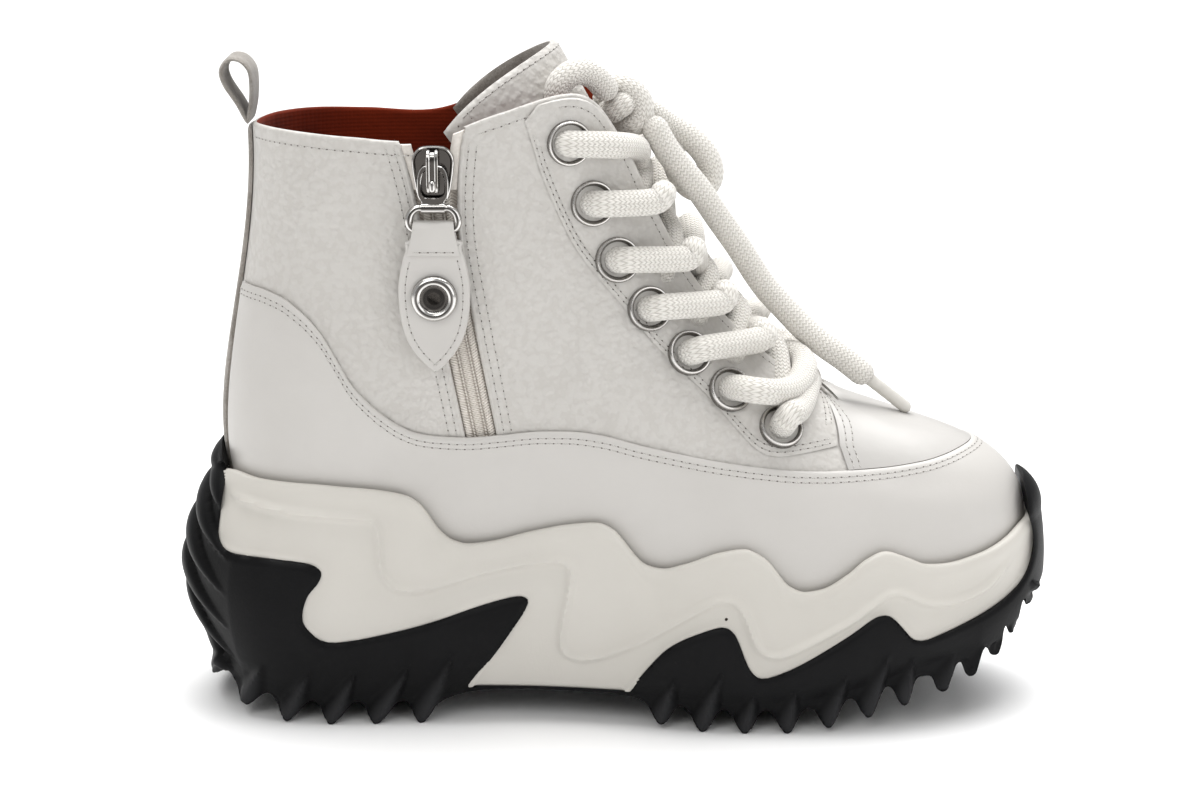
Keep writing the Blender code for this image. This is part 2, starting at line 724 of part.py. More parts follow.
def seat(x, z, side):
    """Middle and normal of a flat ring resting on the eyestay at (x, z)."""
    centre, first = skin(x, z, side)
    turn = first.to_track_quat("Z", "Y")
    spots = [SKIN_TREE.ray_cast(centre + turn @ Vector((reach * math.cos(a), reach * math.sin(a), 20.0)), -first)[0]
             for reach in (3.5, 7.0) for a in np.linspace(0.0, 2 * math.pi, 12, endpoint=False)]
    rim = [spot - centre for spot in spots[12:]]
    normal = sum((rim[k - 1].cross(rim[k]) for k in range(12)), Vector()).normalized()
    high = max((spot - centre).dot(normal) for spot in spots)
    return centre + normal * (high + SKIN), normal


def eyelets():
    for side_name, side in SIDES.items():
        for i, (x, z) in enumerate(EYELETS):
            middle, normal = seat(x, z, side)
            ring = turned(f"eyelet_{side_name}_{i + 1}", EYELET_PROFILE, 8, STEEL)
            ring.location = middle * MM
            ring.rotation_euler = normal.to_track_quat("Z", "Y").to_euler()


def pull_loop():
    count = len(LOOP_PATH)
    points = [(x, y, z) for y in (-LOOP_HALF_WIDTH, LOOP_HALF_WIDTH) for x, z in LOOP_PATH]
    made = mesh_object("pull_loop", points, grid_faces(2, count, True), GREY)
    solidify(made, LOOP_THICK, -1.0)
    return made


# ---- the zip

ZIP_LINE = ((-41.3, 94.6), (-47.6, 128.0), (-52.0, 154.0), (-54.6, 180.5))
ZIP_SLOT_HALF = ((94.0, 6.2), (150.0, 6.3), (166.0, 7.2), (187.0, 10.5))
TAPE_HALF = 5.5
TAPE_THICK = 0.9
TAPE_SUNK = 1.6
COIL_HALF = 2.4
COIL_THICK = 1.3


def zip_x(z):
    return line_at([(height, x) for x, height in ZIP_LINE], z)


def zip_slot():
    heights = (94.0, 110.0, 130.0, 150.0, 166.0, 187.0)
    left = [(zip_x(z) - line_at(ZIP_SLOT_HALF, z), z) for z in heights]
    right = [(zip_x(z) + line_at(ZIP_SLOT_HALF, z), z) for z in heights[::-1]]
    return prism("zip_slot", left + right, -70.0, -12.0)


def zip_strip(name, half, low, high, steps, lift, thick, look):
    """A strip that follows the upper's face along the zip, this far off it."""
    points = []
    for k in range(steps + 1):
        z = low + (high - low) * k / steps
        for across in (-half, half):
            point, normal = skin(zip_x(z) + across, z, -1.0)
            points.append(point + normal * lift)
    made = mesh_object(name, points, grid_faces(steps + 1, 2, False), look)
    solidify(made, thick, 1.0)
    return made


# ---- the slider, its link, ring, tab and rivet, in a frame at the slider

SLIDER_Z = 173.5
TAB_Z = 120.0
PLATE = ((-4.2, -8.4), (4.2, -8.4), (5.8, -2.0), (6.3, 5.5), (4.6, 8.2), (-4.6, 8.2), (-6.3, 5.5), (-5.8, -2.0))
PLATE_LOW = 0.2
PLATE_HIGH = 2.6
BRIDGE = (
    (6.6, 2.0), (6.6, 5.6), (5.0, 7.0), (-3.6, 7.0), (-5.2, 5.6),
    (-5.2, 2.0), (-3.6, 2.0), (-3.6, 5.4), (5.0, 5.4), (5.0, 2.0),
)
BRIDGE_HALF = 1.5
PIVOT_Y = 1.8
PIN_Y = -10.2
BAR_Y = -16.6
HARDWARE_Z = 4.0
LINK_THICK = 1.6
LINK_HALF = 3.7
LINK_WINDOW_HALF = 2.3
LINK_WINDOW = (1.0, -7.4)
BARREL_RADIUS = 1.7
BARREL_HALF = 3.9
RING_RADIUS = 1.1
RING_SIDE = ((4.25, PIN_Y), (5.6, PIN_Y - 0.4), (6.9, PIN_Y - 2.0), (7.4, PIN_Y - 4.4), (6.6, BAR_Y))
FOLD_RADIUS = 2.5
FOLD_HALF = 5.9
FOLD_BORE = RING_RADIUS + GAP
TAB_SIDE = ((6.4, BAR_Y), (9.4, -26.0), (10.8, -37.0), (9.2, -49.0), (4.0, -56.8), (0.0, -60.4))
TAB_THICK = 3.0
RIVET_Y = -37.6
RIVET_PROFILE = ((0.0, 1.1), (4.2, 1.1), (4.6, 1.9), (5.8, 2.2), (6.8, 1.4), (7.0, GAP), (0.0, GAP))


def zip_frame():
    """The slider's frame in metres: X across, Y up the boot's side, Z out of it."""
    high, _ = skin(zip_x(SLIDER_Z), SLIDER_Z, -1.0)
    low, _ = skin(zip_x(SLIDER_Z), TAB_Z, -1.0)
    across = Vector((1.0, 0.0, 0.0))
    up = Vector((0.0, high.y - low.y, high.z - low.z)).normalized()
    turn = Matrix((across, up, across.cross(up))).transposed().to_4x4()
    return Matrix.Translation(high * MM) @ turn


def place(obj, origin=(0.0, 0.0, 0.0)):
    """Sets an object modelled in the slider's frame, with its own origin at this point."""
    shift = Matrix.Translation(Vector(origin) * MM)
    obj.data.transform(shift.inverted())
    obj.matrix_world = ZIP_FRAME @ shift
    return obj


def extruded(name, outline, low, high, look=None, helper=False):
    """An (x, y) outline from one level of z to another."""
    count = len(outline)
    points = [(x, y, z) for z in (low, high) for x, y in outline]
    sides = [(i, (i + 1) % count, count + (i + 1) % count, count + i) for i in range(count)]
    caps = [tuple(range(count)), tuple(range(count, 2 * count))]
    made = mesh_object(name, points, caps + sides, look, helper)
    face_out(made)
    return made


def slider():
    body = place(extruded("zip_slider", PLATE, PLATE_LOW, PLATE_HIGH, STEEL))
    bridge = extruded("bridge", BRIDGE, -BRIDGE_HALF, BRIDGE_HALF, helper=True)
    bridge.data.transform(Matrix(((0, 0, 1, 0), (1, 0, 0, 0), (0, 1, 0, 0), (0, 0, 0, 1))))
    boolean(body, place(bridge), "UNION")


def link():
    pivot = (0.0, PIVOT_Y, HARDWARE_Z)
    low, high = HARDWARE_Z - LINK_THICK / 2, HARDWARE_Z + LINK_THICK / 2
    top = PIVOT_Y + LINK_THICK / 2
    outer = ((-LINK_HALF, top), (-LINK_HALF, PIN_Y), (LINK_HALF, PIN_Y), (LINK_HALF, top))
    ends = LINK_WINDOW
    inner = [(x, y) for x, y in zip((-LINK_WINDOW_HALF,) * 2 + (LINK_WINDOW_HALF,) * 2, ends + ends[::-1])]
    body = place(extruded("zip_link", outer, low, high, STEEL), pivot)
    boolean(body, place(extruded("link_window", inner, low - 1.0, high + 1.0, helper=True), pivot), "DIFFERENCE")
    barrel = [(-BARREL_HALF, PIN_Y, HARDWARE_Z), (BARREL_HALF, PIN_Y, HARDWARE_Z)]
    boolean(body, place(tube("link_barrel", barrel, (BARREL_RADIUS,) * 2, helper=True), pivot), "UNION")


def ring():
    side = [(x, y, HARDWARE_Z) for x, y in RING_SIDE]
    path = [(-x, y, z) for x, y, z in side] + side[::-1]
    place(tube("zip_ring", path, (RING_RADIUS,) * len(path), STEEL), (0.0, PIN_Y, HARDWARE_Z))


def tab():
    origin = (0.0, PIN_Y, HARDWARE_Z)
    outline = [(-x, y) for x, y in TAB_SIDE] + list(TAB_SIDE[-2::-1])
    low, high = HARDWARE_Z - TAB_THICK / 2, HARDWARE_Z + TAB_THICK / 2
    body = place(extruded("zip_tab", outline, low, high, WHITE), origin)
    for name, half, radius, operation in (
        ("tab_fold", FOLD_HALF, FOLD_RADIUS, "UNION"),
        ("tab_bore", FOLD_HALF + 2.0, FOLD_BORE, "DIFFERENCE"),
    ):
        axis = [(-half, BAR_Y, HARDWARE_Z), (half, BAR_Y, HARDWARE_Z)]
        boolean(body, place(tube(name, axis, (radius,) * 2, helper=True, resolution=2), origin), operation)
    rivet = turned("zip_rivet", RIVET_PROFILE, 12, STEEL)
    rivet.matrix_world = ZIP_FRAME @ Matrix.Translation(Vector((0.0, RIVET_Y, high)) * MM)


# ---- the laces

LACE_RADIUS = 4.1
AGLET_RADIUS = 2.0
LACE_CLEAR = 0.6
START_CLEAR = 2.2
LACE_SEGMENTS = 6
EDGE_CLEAR = 1.3
BRINK_RISE = 0.9
EYELET_HIGH = 1.8
DIVE_Y = 8.0
# For each pair of eyelets: the height where a strand passes the throat's edge, the ridge, and the dive.
LACE_HEIGHTS = (
    (180.8, 175.8, 168.8),
    (162.8, 157.8, 150.6),
    (144.6, 139.6, 136.0),
    (130.0, 125.0, 122.8),
    (116.8, 111.8, 111.0),
    (106.5, 102.0, 101.5),
    (99.0, 96.0, 96.0),
)
KNOT = (4.9, -3.0, 190.1)
KNOT_SIZE = (6.7, 7.5, 7.2)
FREE_END = (
    (13.0, -6.5, 182.4), (17.8, -6.0, 174.2), (26.4, -4.0, 163.4), (32.8, -2.0, 153.9), (39.3, 0.0, 144.4),
    (46.8, 2.0, 132.6), (52.8, 2.0, 125.6), (60.4, 1.0, 117.8), (67.0, 0.0, 112.4), (73.2, 0.0, 108.0),
    (79.0, 0.0, 103.4),
)
AGLET = ((79.4, 0.0, 103.0), (93.2, 0.0, 92.2))
FRONT_LOOP = (
    (12.4, 6.4, 185.3), (17.4, 8.0, 181.5), (22.4, 8.5, 178.7), (26.8, 8.5, 175.0), (29.9, 8.5, 170.6),
    (31.0, 8.5, 166.0), (29.4, 8.2, 162.2), (25.6, 7.6, 161.4), (21.8, 7.0, 164.7), (19.6, 7.0, 169.6),
    (18.6, 7.0, 173.0),
)
BACK_LOOP = (
    (-17.0, -19.5, 194.4), (-16.2, -19.0, 198.0), (-12.9, -17.5, 200.8), (-9.2, -15.0, 201.2),
    (-5.4, -12.0, 199.0), (-2.4, -9.4, 195.4),
)


def tongue_at_height(z, y, lift):
    """A point this far in front of the tongue's middle line."""
    along = solve(lambda share: tongue_point(share, 0.0)[2] - z, 0.0, 1.0)
    ahead, behind = tongue_point(min(along + 0.02, 1.0), 0.0), tongue_point(max(along - 0.02, 0.0), 0.0)
    run = (ahead - behind) / np.linalg.norm(ahead - behind)
    point = tongue_point(along, 0.0) + np.array((run[2], 0.0, -run[0])) * lift
    return np.array((point[0], y, point[2]))


def strand(i, side):
    """One strand: it leaves eyelet i on one side, crosses the tongue and dives beside the next eyelet."""
    (x, z), (edge_z, cross_z, dive_z) = EYELETS[i], LACE_HEIGHTS[i]
    s = solve(lambda place: rib_point(place, 1.0)[2] - edge_z, 7.0, 14.0)
    if side > 0:
        s = TURN - s
    reach = LACE_RADIUS + EDGE_CLEAR
    brink, normal = rib_point(s, 1.0), rib_normal(s, 1.0)
    inward = np.cross(rib_point(s + 0.04, 1.0) - rib_point(s - 0.04, 1.0), normal)
    inward = inward / np.linalg.norm(inward)
    inward = inward * np.sign(-side * inward[1])
    middle, facing = seat(x, z, side)
    start = np.array(middle + facing * (EYELET_HIGH + LACE_RADIUS + START_CLEAR))
    before = brink + normal * (SKIN + reach + BRINK_RISE) - inward * 2.0
    around = brink + normal * (SKIN + 0.75 * reach) + inward * 0.7 * reach
    cross = tongue_at_height(cross_z, 0.0, LACE_RADIUS + LACE_CLEAR)
    end = tongue_at_height(dive_z, -side * DIVE_Y, LACE_RADIUS + LACE_CLEAR)
    return smooth_path((start, before, around, cross, end), LACE_SEGMENTS)


def lace_crossings():
    for i in range(len(EYELETS)):
        near, far = strand(i, -1.0), strand(i, 1.0)
        crossing = tube(f"lace_crossing_{i + 1}", near, (LACE_RADIUS,) * len(near), LACE)
        boolean(crossing, tube(f"far_strand_{i + 1}", far, (LACE_RADIUS,) * len(far), helper=True), "UNION")


def bow():
    knot = bmesh.new()
    bmesh.ops.create_uvsphere(knot, u_segments=10, v_segments=6, radius=MM)
    mesh = bpy.data.meshes.new("lace_knot")
    knot.to_mesh(mesh)
    knot.free()
    mesh.transform(Matrix.Diagonal((*KNOT_SIZE, 1.0)))
    mesh.materials.append(LACE)
    made = bpy.data.objects.new("lace_knot", mesh)
    made.location = Vector(KNOT) * MM
    BOOT.objects.link(made)
    for name, points, radius, count in (
        ("lace_free_end", FREE_END, LACE_RADIUS, 12),
        ("lace_front_loop", FRONT_LOOP, LACE_RADIUS, 12),
        ("lace_back_loop", BACK_LOOP, LACE_RADIUS, 7),
        ("lace_aglet", AGLET, AGLET_RADIUS, 1),
    ):
        path = smooth_path(points, count)
        tube(name, path, (radius,) * len(path), LACE)


for old in list(bpy.data.objects):
    bpy.data.objects.remove(old, do_unlink=True)
BOOT = collection("ankle_boot")
CUTTERS = collection("cutters")
WHITE = material("white_leather", (0.60, 0.58, 0.55), 0.5)
CREAM = material("cream_midsole", (0.62, 0.60, 0.55), 0.55)
BLACK = material("black_rubber", (0.012, 0.012, 0.014), 0.55)
GREY = material("grey_suede", (0.30, 0.28, 0.26), 0.9)
STEEL = material("dark_chrome", (0.42, 0.41, 0.40), 0.25, 1.0)
TAPE = material("zip_tape", (0.50, 0.46, 0.40), 0.8)
LACE = material("knit_lace", (0.62, 0.60, 0.54), 0.85)
SKIN_TREE = skin_tree()
ZIP_FRAME = zip_frame()

outsole()
midsole()
insole()
upper()
mudguard()
backstay()
eyestay("eyestay_medial", -1.0)
eyestay("eyestay_lateral", 1.0)
tongue()
pull_loop()
eyelets()
zip_strip("zip_tape", TAPE_HALF, 94.6, 180.5, 8, -TAPE_SUNK, TAPE_THICK, TAPE)
zip_strip("zip_coil", COIL_HALF, 95.2, 163.5, 8, -TAPE_SUNK + TAPE_THICK + GAP, COIL_THICK, TAPE)
slider()
link()
ring()
tab()
lace_crossings()
bow()
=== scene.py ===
# Left ankle boot on a cleated platform sole: the looks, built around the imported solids.
# Toe to +X, zip side to -Y. Sizes below are in millimetres and unit turns them into metres.
import json
import math

import bmesh
import bpy
import numpy as np
from mathutils import Matrix, Vector


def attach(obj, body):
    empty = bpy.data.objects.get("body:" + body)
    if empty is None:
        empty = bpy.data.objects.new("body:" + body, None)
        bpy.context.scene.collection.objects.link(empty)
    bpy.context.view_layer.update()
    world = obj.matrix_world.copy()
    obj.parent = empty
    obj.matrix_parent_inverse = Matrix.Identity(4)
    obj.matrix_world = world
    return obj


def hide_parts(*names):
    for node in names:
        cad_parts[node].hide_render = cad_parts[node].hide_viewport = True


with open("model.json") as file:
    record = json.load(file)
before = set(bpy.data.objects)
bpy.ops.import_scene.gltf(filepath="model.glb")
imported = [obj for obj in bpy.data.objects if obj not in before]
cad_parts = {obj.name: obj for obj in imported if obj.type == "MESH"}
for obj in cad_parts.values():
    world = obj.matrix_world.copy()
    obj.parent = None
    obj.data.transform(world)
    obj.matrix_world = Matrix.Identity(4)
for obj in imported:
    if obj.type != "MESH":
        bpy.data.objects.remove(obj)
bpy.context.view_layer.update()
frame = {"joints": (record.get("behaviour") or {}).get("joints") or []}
unit = 0.001
weld = 0.000004  # metres: points nearer than this are one
print("frame loaded")

view = {"place": (0.0, -0.880, 0.313), "aim": (0.0, 0.0, 0.095), "lens": 85.3, "shift": (-0.0108, -0.0017)}
room = {"light": 0.42, "reach": 6.0, "floor": (0.93, 0.93, 0.93), "floorRough": 0.6}
lamps = (
    # name, place, aim, size in metres, watts, colour
    ("keySoft", (-0.55, -0.95, 1.05), (0.0, 0.0, 0.08), 0.9, 5.0, (1.0, 0.99, 0.97)),
    ("fillSoft", (0.95, -0.75, 0.55), (0.0, 0.0, 0.08), 0.9, 3.0, (1.0, 1.0, 1.0)),
    ("topSoft", (0.05, 0.25, 1.15), (0.0, 0.0, 0.05), 1.1, 9.0, (1.0, 1.0, 1.0)),
    ("backSoft", (0.0, 1.3, 2.2), (0.0, 1.3, 0.0), 3.2, 95.0, (1.0, 1.0, 1.0)),
)


def aimed(place, aim):
    look = Vector(aim) - Vector(place)
    return look.to_track_quat("-Z", "Y").to_euler()


def setStage():
    scene = bpy.context.scene
    camera = bpy.data.cameras.new("sideView")
    camera.lens = view["lens"]
    camera.sensor_width = 36.0
    camera.shift_x, camera.shift_y = view["shift"]
    holder = bpy.data.objects.new("sideView", camera)
    holder.location = view["place"]
    holder.rotation_euler = aimed(view["place"], view["aim"])
    scene.collection.objects.link(holder)
    scene.camera = holder
    for name, place, aim, size, watts, colour in lamps:
        lamp = bpy.data.lights.new(name, "AREA")
        lamp.size = size
        lamp.energy = watts
        lamp.color = colour
        made = bpy.data.objects.new(name, lamp)
        made.location = place
        made.rotation_euler = aimed(place, aim)
        scene.collection.objects.link(made)
    world = bpy.data.worlds.new("paleRoom")
    world.use_nodes = True
    world.node_tree.nodes["Background"].inputs["Color"].default_value = (1.0, 1.0, 1.0, 1.0)
    world.node_tree.nodes["Background"].inputs["Strength"].default_value = room["light"]
    scene.world = world
    scene.view_settings.view_transform = "Standard"
    mesh = bpy.data.meshes.new("paleFloor")
    reach = room["reach"]
    corners = [(-reach, -reach, 0), (reach, -reach, 0), (reach, reach, 0), (-reach, reach, 0)]
    mesh.from_pydata(corners, [], [(0, 1, 2, 3)])
    mesh.materials.append(finish("paleFloorFinish", lambda m: m.shade(room["floor"], room["floorRough"])))
    floor = bpy.data.objects.new("paleFloor", mesh)
    scene.collection.objects.link(floor)


class Value:
    # A number socket that can be added, scaled and compared in plain expressions.
    def __init__(self, maker, socket):
        self.maker, self.socket = maker, socket

    def join(self, kind, other, swap=False):
        pair = (other, self) if swap else (self, other)
        return self.maker.number("ShaderNodeMath", {"operation": kind}, *pair)

    def __add__(self, other): return self.join("ADD", other)
    def __radd__(self, other): return self.join("ADD", other, True)
    def __sub__(self, other): return self.join("SUBTRACT", other)
    def __rsub__(self, other): return self.join("SUBTRACT", other, True)
    def __mul__(self, other): return self.join("MULTIPLY", other)
    def __rmul__(self, other): return self.join("MULTIPLY", other, True)
    def __truediv__(self, other): return self.join("DIVIDE", other)
    def __pow__(self, other): return self.join("POWER", other)

    def wave(self): return self.maker.number("ShaderNodeMath", {"operation": "SINE"}, self)
    def size(self): return self.maker.number("ShaderNodeMath", {"operation": "ABSOLUTE"}, self)
    def part(self): return self.maker.number("ShaderNodeMath", {"operation": "FRACT"}, self)

    def ramp(self, low, high, a=0.0, b=1.0):
        # Smoothly from a to b while this runs from low to high.
        kind = {"interpolation_type": "SMOOTHSTEP"}
        return self.maker.number("ShaderNodeMapRange", kind, self, low, high, a, b)


class Maker:
    # Builds one material's nodes.
    def __init__(self, name):
        self.look = bpy.data.materials.new(name)
        self.look.use_nodes = True
        self.tree = self.look.node_tree
        self.shader = self.tree.nodes["Principled BSDF"]
        self.axes = {}

    def node(self, kind, settings, *values, **named):
        made = self.tree.nodes.new(kind)
        for key, setting in settings.items():
            setattr(made, key, setting)
        feeds = list(zip(made.inputs, values)) + [(made.inputs[k], v) for k, v in named.items()]
        for socket, value in feeds:
            if value is None:
                continue
            if isinstance(value, Value):
                value = value.socket
            if isinstance(value, bpy.types.NodeSocket):
                self.tree.links.new(value, socket)
            else:
                socket.default_value = value
        return made

    def number(self, kind, settings, *values, **named):
        return Value(self, self.node(kind, settings, *values, **named).outputs[0])

    def place(self, stretch=None):
        # Object coordinates in metres, each axis scaled.
        socket = self.node("ShaderNodeTexCoord", {}).outputs["Object"]
        if stretch:
            times = {"operation": "MULTIPLY"}
            socket = self.node("ShaderNodeVectorMath", times, socket, stretch).outputs[0]
        return socket

    def axis(self, name):
        if not self.axes:
            parts = self.node("ShaderNodeSeparateXYZ", {}, self.place())
            self.axes = {k: Value(self, parts.outputs[k]) for k in ("X", "Y", "Z")}
        return self.axes[name.upper()]

    def along(self):
        run = self.node("ShaderNodeUVMap", {"uv_map": "run"}).outputs[0]
        parts = self.node("ShaderNodeSeparateXYZ", {}, run)
        return Value(self, parts.outputs["X"]), Value(self, parts.outputs["Y"])

    def mark(self, name):
        return Value(self, self.node("ShaderNodeAttribute", {"attribute_name": name}).outputs["Fac"])

    def noise(self, scale, detail=3.0, rough=0.5, at=None, warp=0.0):
        made = self.node("ShaderNodeTexNoise", {}, Vector=at or self.place(), Scale=scale, Detail=detail,
                         Roughness=rough, Distortion=warp)
        return Value(self, made.outputs["Fac"])

    def cells(self, scale, feature="F1", at=None, jitter=1.0):
        made = self.node("ShaderNodeTexVoronoi", {"feature": feature}, Vector=at or self.place(), Scale=scale,
                         Randomness=jitter)
        return Value(self, made.outputs["Distance"])

    def blend(self, share, a, b):
        made = self.node("ShaderNodeMix", {"data_type": "RGBA"})
        for k, value in ((0, share), (6, a), (7, b)):
            if isinstance(value, Value):
                value = value.socket
            if isinstance(value, bpy.types.NodeSocket):
                self.tree.links.new(value, made.inputs[k])
            else:
                made.inputs[k].default_value = (*value, 1.0) if isinstance(value, tuple) else value
        return made.outputs[2]

    def relief(self, height, depth, base=None):
        # depth is in metres
        made = self.node("ShaderNodeBump", {}, Strength=1.0, Distance=depth, Height=height)
        if base is not None:
            self.tree.links.new(base, made.inputs["Normal"])
        return made.outputs["Normal"]

    def shade(self, colour, rough, normal=None, metal=0.0, coat=0.0, sheen=0.0, specular=0.5):
        feeds = {"Base Color": (*colour, 1.0) if isinstance(colour, tuple) else colour, "Roughness": rough,
                 "Metallic": metal, "Normal": normal}
        for name, value in feeds.items():
            if isinstance(value, Value):
                value = value.socket
            if isinstance(value, bpy.types.NodeSocket):
                self.tree.links.new(value, self.shader.inputs[name])
            elif value is not None:
                self.shader.inputs[name].default_value = value
        self.shader.inputs["Coat Weight"].default_value = coat
        self.shader.inputs["Sheen Weight"].default_value = sheen
        self.shader.inputs["Specular IOR Level"].default_value = specular


def finish(name, recipe):
    made = Maker(name)
    recipe(made)
    return made.look


def grain(m, cell=450.0, deep=0.00040):
    # Tumbled leather: rounded pebbles of two sizes, flatter in patches.
    pebble = m.cells(cell, "SMOOTH_F1").ramp(0.10, 0.62, 1.0, 0.0)
    small = m.cells(cell * 1.9, "SMOOTH_F1").ramp(0.10, 0.62, 1.0, 0.0)
    patch = m.noise(28.0, 2.0).ramp(0.30, 0.70, 0.55, 1.0)
    raised = pebble * 0.75 + small * 0.25
    return m.relief(raised * patch + m.noise(2200.0, 2.0) * 0.06, deep), raised


def pebbledWhite(m):
    normal, raised = grain(m)
    cloud = m.noise(22.0, 4.0, 0.6)
    colour = m.blend(cloud.ramp(0.3, 0.75), (0.545, 0.527, 0.500), (0.515, 0.497, 0.470))
    # Painted shade: the colour darkens in the creases between the pebbles.
    colour = m.blend(raised.ramp(0.05, 0.40, 0.22, 0.0), colour, (0.40, 0.375, 0.345))
    m.shade(colour, 0.56 - raised * 0.12 + cloud * 0.06, normal, specular=0.4)


def smoothWhite(m):
    fine = m.noise(1500.0, 3.0)
    wrinkle = m.cells(520.0, "SMOOTH_F1", m.place((1.0, 1.0, 1.8)))
    cloud = m.noise(16.0, 4.0, 0.6)
    normal = m.relief(fine * 0.35 + wrinkle * 0.35, 0.00007, m.relief(m.noise(60.0, 3.0), 0.00035))
    colour = m.blend(cloud.ramp(0.3, 0.75), (0.540, 0.522, 0.498), (0.508, 0.490, 0.466))
    m.shade(colour, cloud * 0.10 + 0.36, normal, specular=0.45)


def sleekWhite(m):
    # The vamp: polished, with only broad soft waves.
    cloud = m.noise(16.0, 3.0, 0.55)
    normal = m.relief(m.noise(1400.0, 3.0) * 0.3, 0.00004, m.relief(m.noise(70.0, 3.0), 0.00030))
    colour = m.blend(cloud.ramp(0.3, 0.75), (0.470, 0.456, 0.437), (0.440, 0.427, 0.408))
    m.shade(colour, cloud * 0.08 + 0.30, normal, specular=0.5)


def rustLining(m):
    weave = (m.axis("Z") * 5200.0).wave() * 0.5 + (m.axis("X") * 5200.0).wave() * 0.5
    cloud = m.noise(45.0, 4.0, 0.6)
    colour = m.blend(cloud.ramp(0.3, 0.7), (0.160, 0.016, 0.0030), (0.095, 0.009, 0.0020))
    m.shade(colour, 0.85, m.relief(weave * 0.4 + m.noise(900.0) * 0.8, 0.00012), sheen=0.08, specular=0.1)


def rawSuede(m, dark=(0.200, 0.180, 0.158), pale=(0.360, 0.335, 0.305)):
    nap = m.noise(1400.0, 4.0, 0.7, warp=0.6)
    cloud = m.noise(120.0, 3.0, 0.6)
    colour = m.blend((nap * 0.6 + cloud * 0.5).ramp(0.35, 0.75), dark, pale)
    m.shade(colour, 0.95, m.relief(nap + cloud * 0.6, 0.00035), sheen=0.35, specular=0.15)


def creamFoam(m):
    fine = m.noise(1100.0, 4.0, 0.6)
    cloud = m.noise(14.0, 3.0, 0.55)
    colour = m.blend(cloud.ramp(0.3, 0.7), (0.575, 0.553, 0.512), (0.538, 0.516, 0.474))
    m.shade(colour, 0.44 + cloud * 0.08, m.relief(fine, 0.00006), specular=0.4)


def blackRubber(m):
    fine = m.noise(1300.0, 4.0, 0.65)
    cloud = m.noise(30.0, 4.0, 0.6)
    colour = m.blend(cloud.ramp(0.35, 0.75), (0.0030, 0.0030, 0.0034), (0.0052, 0.0052, 0.0058))
    # Painted light: the mark lightens the lug ridges and claw crests as a painted highlight and darkens the
    # sunk hollows between the heel claws as painted shade.
    ridgeLightAndShade = m.mark("ridgeLightAndShade")
    colour = m.blend(ridgeLightAndShade.ramp(0.12, 0.95), colour, (0.024, 0.024, 0.0255))
    colour = m.blend(ridgeLightAndShade.ramp(-0.6, 0.0, 1.0, 0.0), colour, (0.0006, 0.0006, 0.0007))
    m.shade(colour, 0.42 + cloud * 0.14, m.relief(fine, 0.00008), specular=0.11)


def darkChrome(m):
    smear = m.noise(160.0, 3.0, 0.6)
    lean = m.mark("rim")
    bright = lean.ramp(0.015, 0.10) * lean.ramp(0.45, 0.90, 1.0, 0.0)
    # Painted reflection: the colour is dark where the metal faces out, bright where it turns away, and dark
    # again at the outermost rims.
    colour = m.blend(bright, (0.085, 0.078, 0.072), (0.66, 0.645, 0.625))
    m.shade(colour, smear.ramp(0.3, 0.8, 0.10, 0.24), m.relief(m.noise(500.0), 0.00001), metal=1.0)


def eyeletSteel(m):
    smear = m.noise(260.0, 3.0, 0.6)
    # Painted light: the colour follows the rim mark, painted shade in the bore and painted highlights on the
    # lip.
    colour = m.blend(m.mark("rim"), (0.050, 0.045, 0.041), (0.70, 0.68, 0.655))
    m.shade(colour, smear.ramp(0.3, 0.8, 0.18, 0.32), m.relief(m.noise(900.0), 0.00001), metal=1.0)


def holeShadow(m):
    m.shade((0.030, 0.022, 0.018), 0.9, m.relief(m.noise(800.0), 0.00005), specular=0.1)


def beigeTape(m):
    across, run = m.along()
    twill = ((run + across * 0.6) * 6.2).wave()
    colour = m.blend(twill.ramp(-0.6, 0.8), (0.44, 0.395, 0.35), (0.62, 0.575, 0.52))
    m.shade(colour, 0.85, m.relief(twill * 0.5 + m.noise(1500.0) * 0.6, 0.00012), sheen=0.2, specular=0.2)


def coilPlastic(m):
    m.shade(m.blend(m.noise(700.0).ramp(0.3, 0.7), (0.74, 0.70, 0.65), (0.64, 0.60, 0.55)), 0.5,
            m.relief(m.noise(900.0), 0.00004), specular=0.4)


def knitLace(m):
    # Round knitted lace: rows of slanted stitches that mirror from one wale to the next.
    run, turn = m.along()
    wale = (turn * 17.0).part()
    slant = ((wale - 0.5).size() * 2.0)
    row = (run * 0.72 + slant * 0.60).part()
    loop = (1.0 - ((row - 0.5).size() * 2.0) ** 2.2) * (1.0 - slant ** 5.0 * 0.6)
    fuzz = m.noise(2600.0, 3.0, 0.6)
    # Painted shade: the colour darkens between the knitted loops and at the wale edges.
    colour = m.blend(loop.ramp(0.05, 0.75), (0.580, 0.550, 0.500), (0.760, 0.735, 0.690))
    m.shade(colour, 0.88, m.relief(loop + fuzz * 0.25, 0.00030), sheen=0.35, specular=0.2)


def tipPlastic(m):
    m.shade(m.blend(m.noise(300.0).ramp(0.3, 0.7), (0.62, 0.60, 0.56), (0.55, 0.53, 0.49)), 0.35,
            m.relief(m.noise(900.0), 0.00003), specular=0.5)


def threadWhite(m):
    twist = ((m.axis("X") + m.axis("Z")) * 9000.0).wave()
    # Painted shade: the colour darkens in the grooves of the twist.
    m.shade(m.blend(twist.ramp(-0.8, 0.8), (0.46, 0.445, 0.42), (0.57, 0.555, 0.53)), 0.6,
            m.relief(twist, 0.00005), specular=0.3)


def needleHoleShade(m):
    # Painted shade: dark dots stand in for the shade inside the needle holes.
    m.shade(m.blend(m.noise(900.0), (0.16, 0.145, 0.13), (0.10, 0.09, 0.08)), 0.9, specular=0.1)


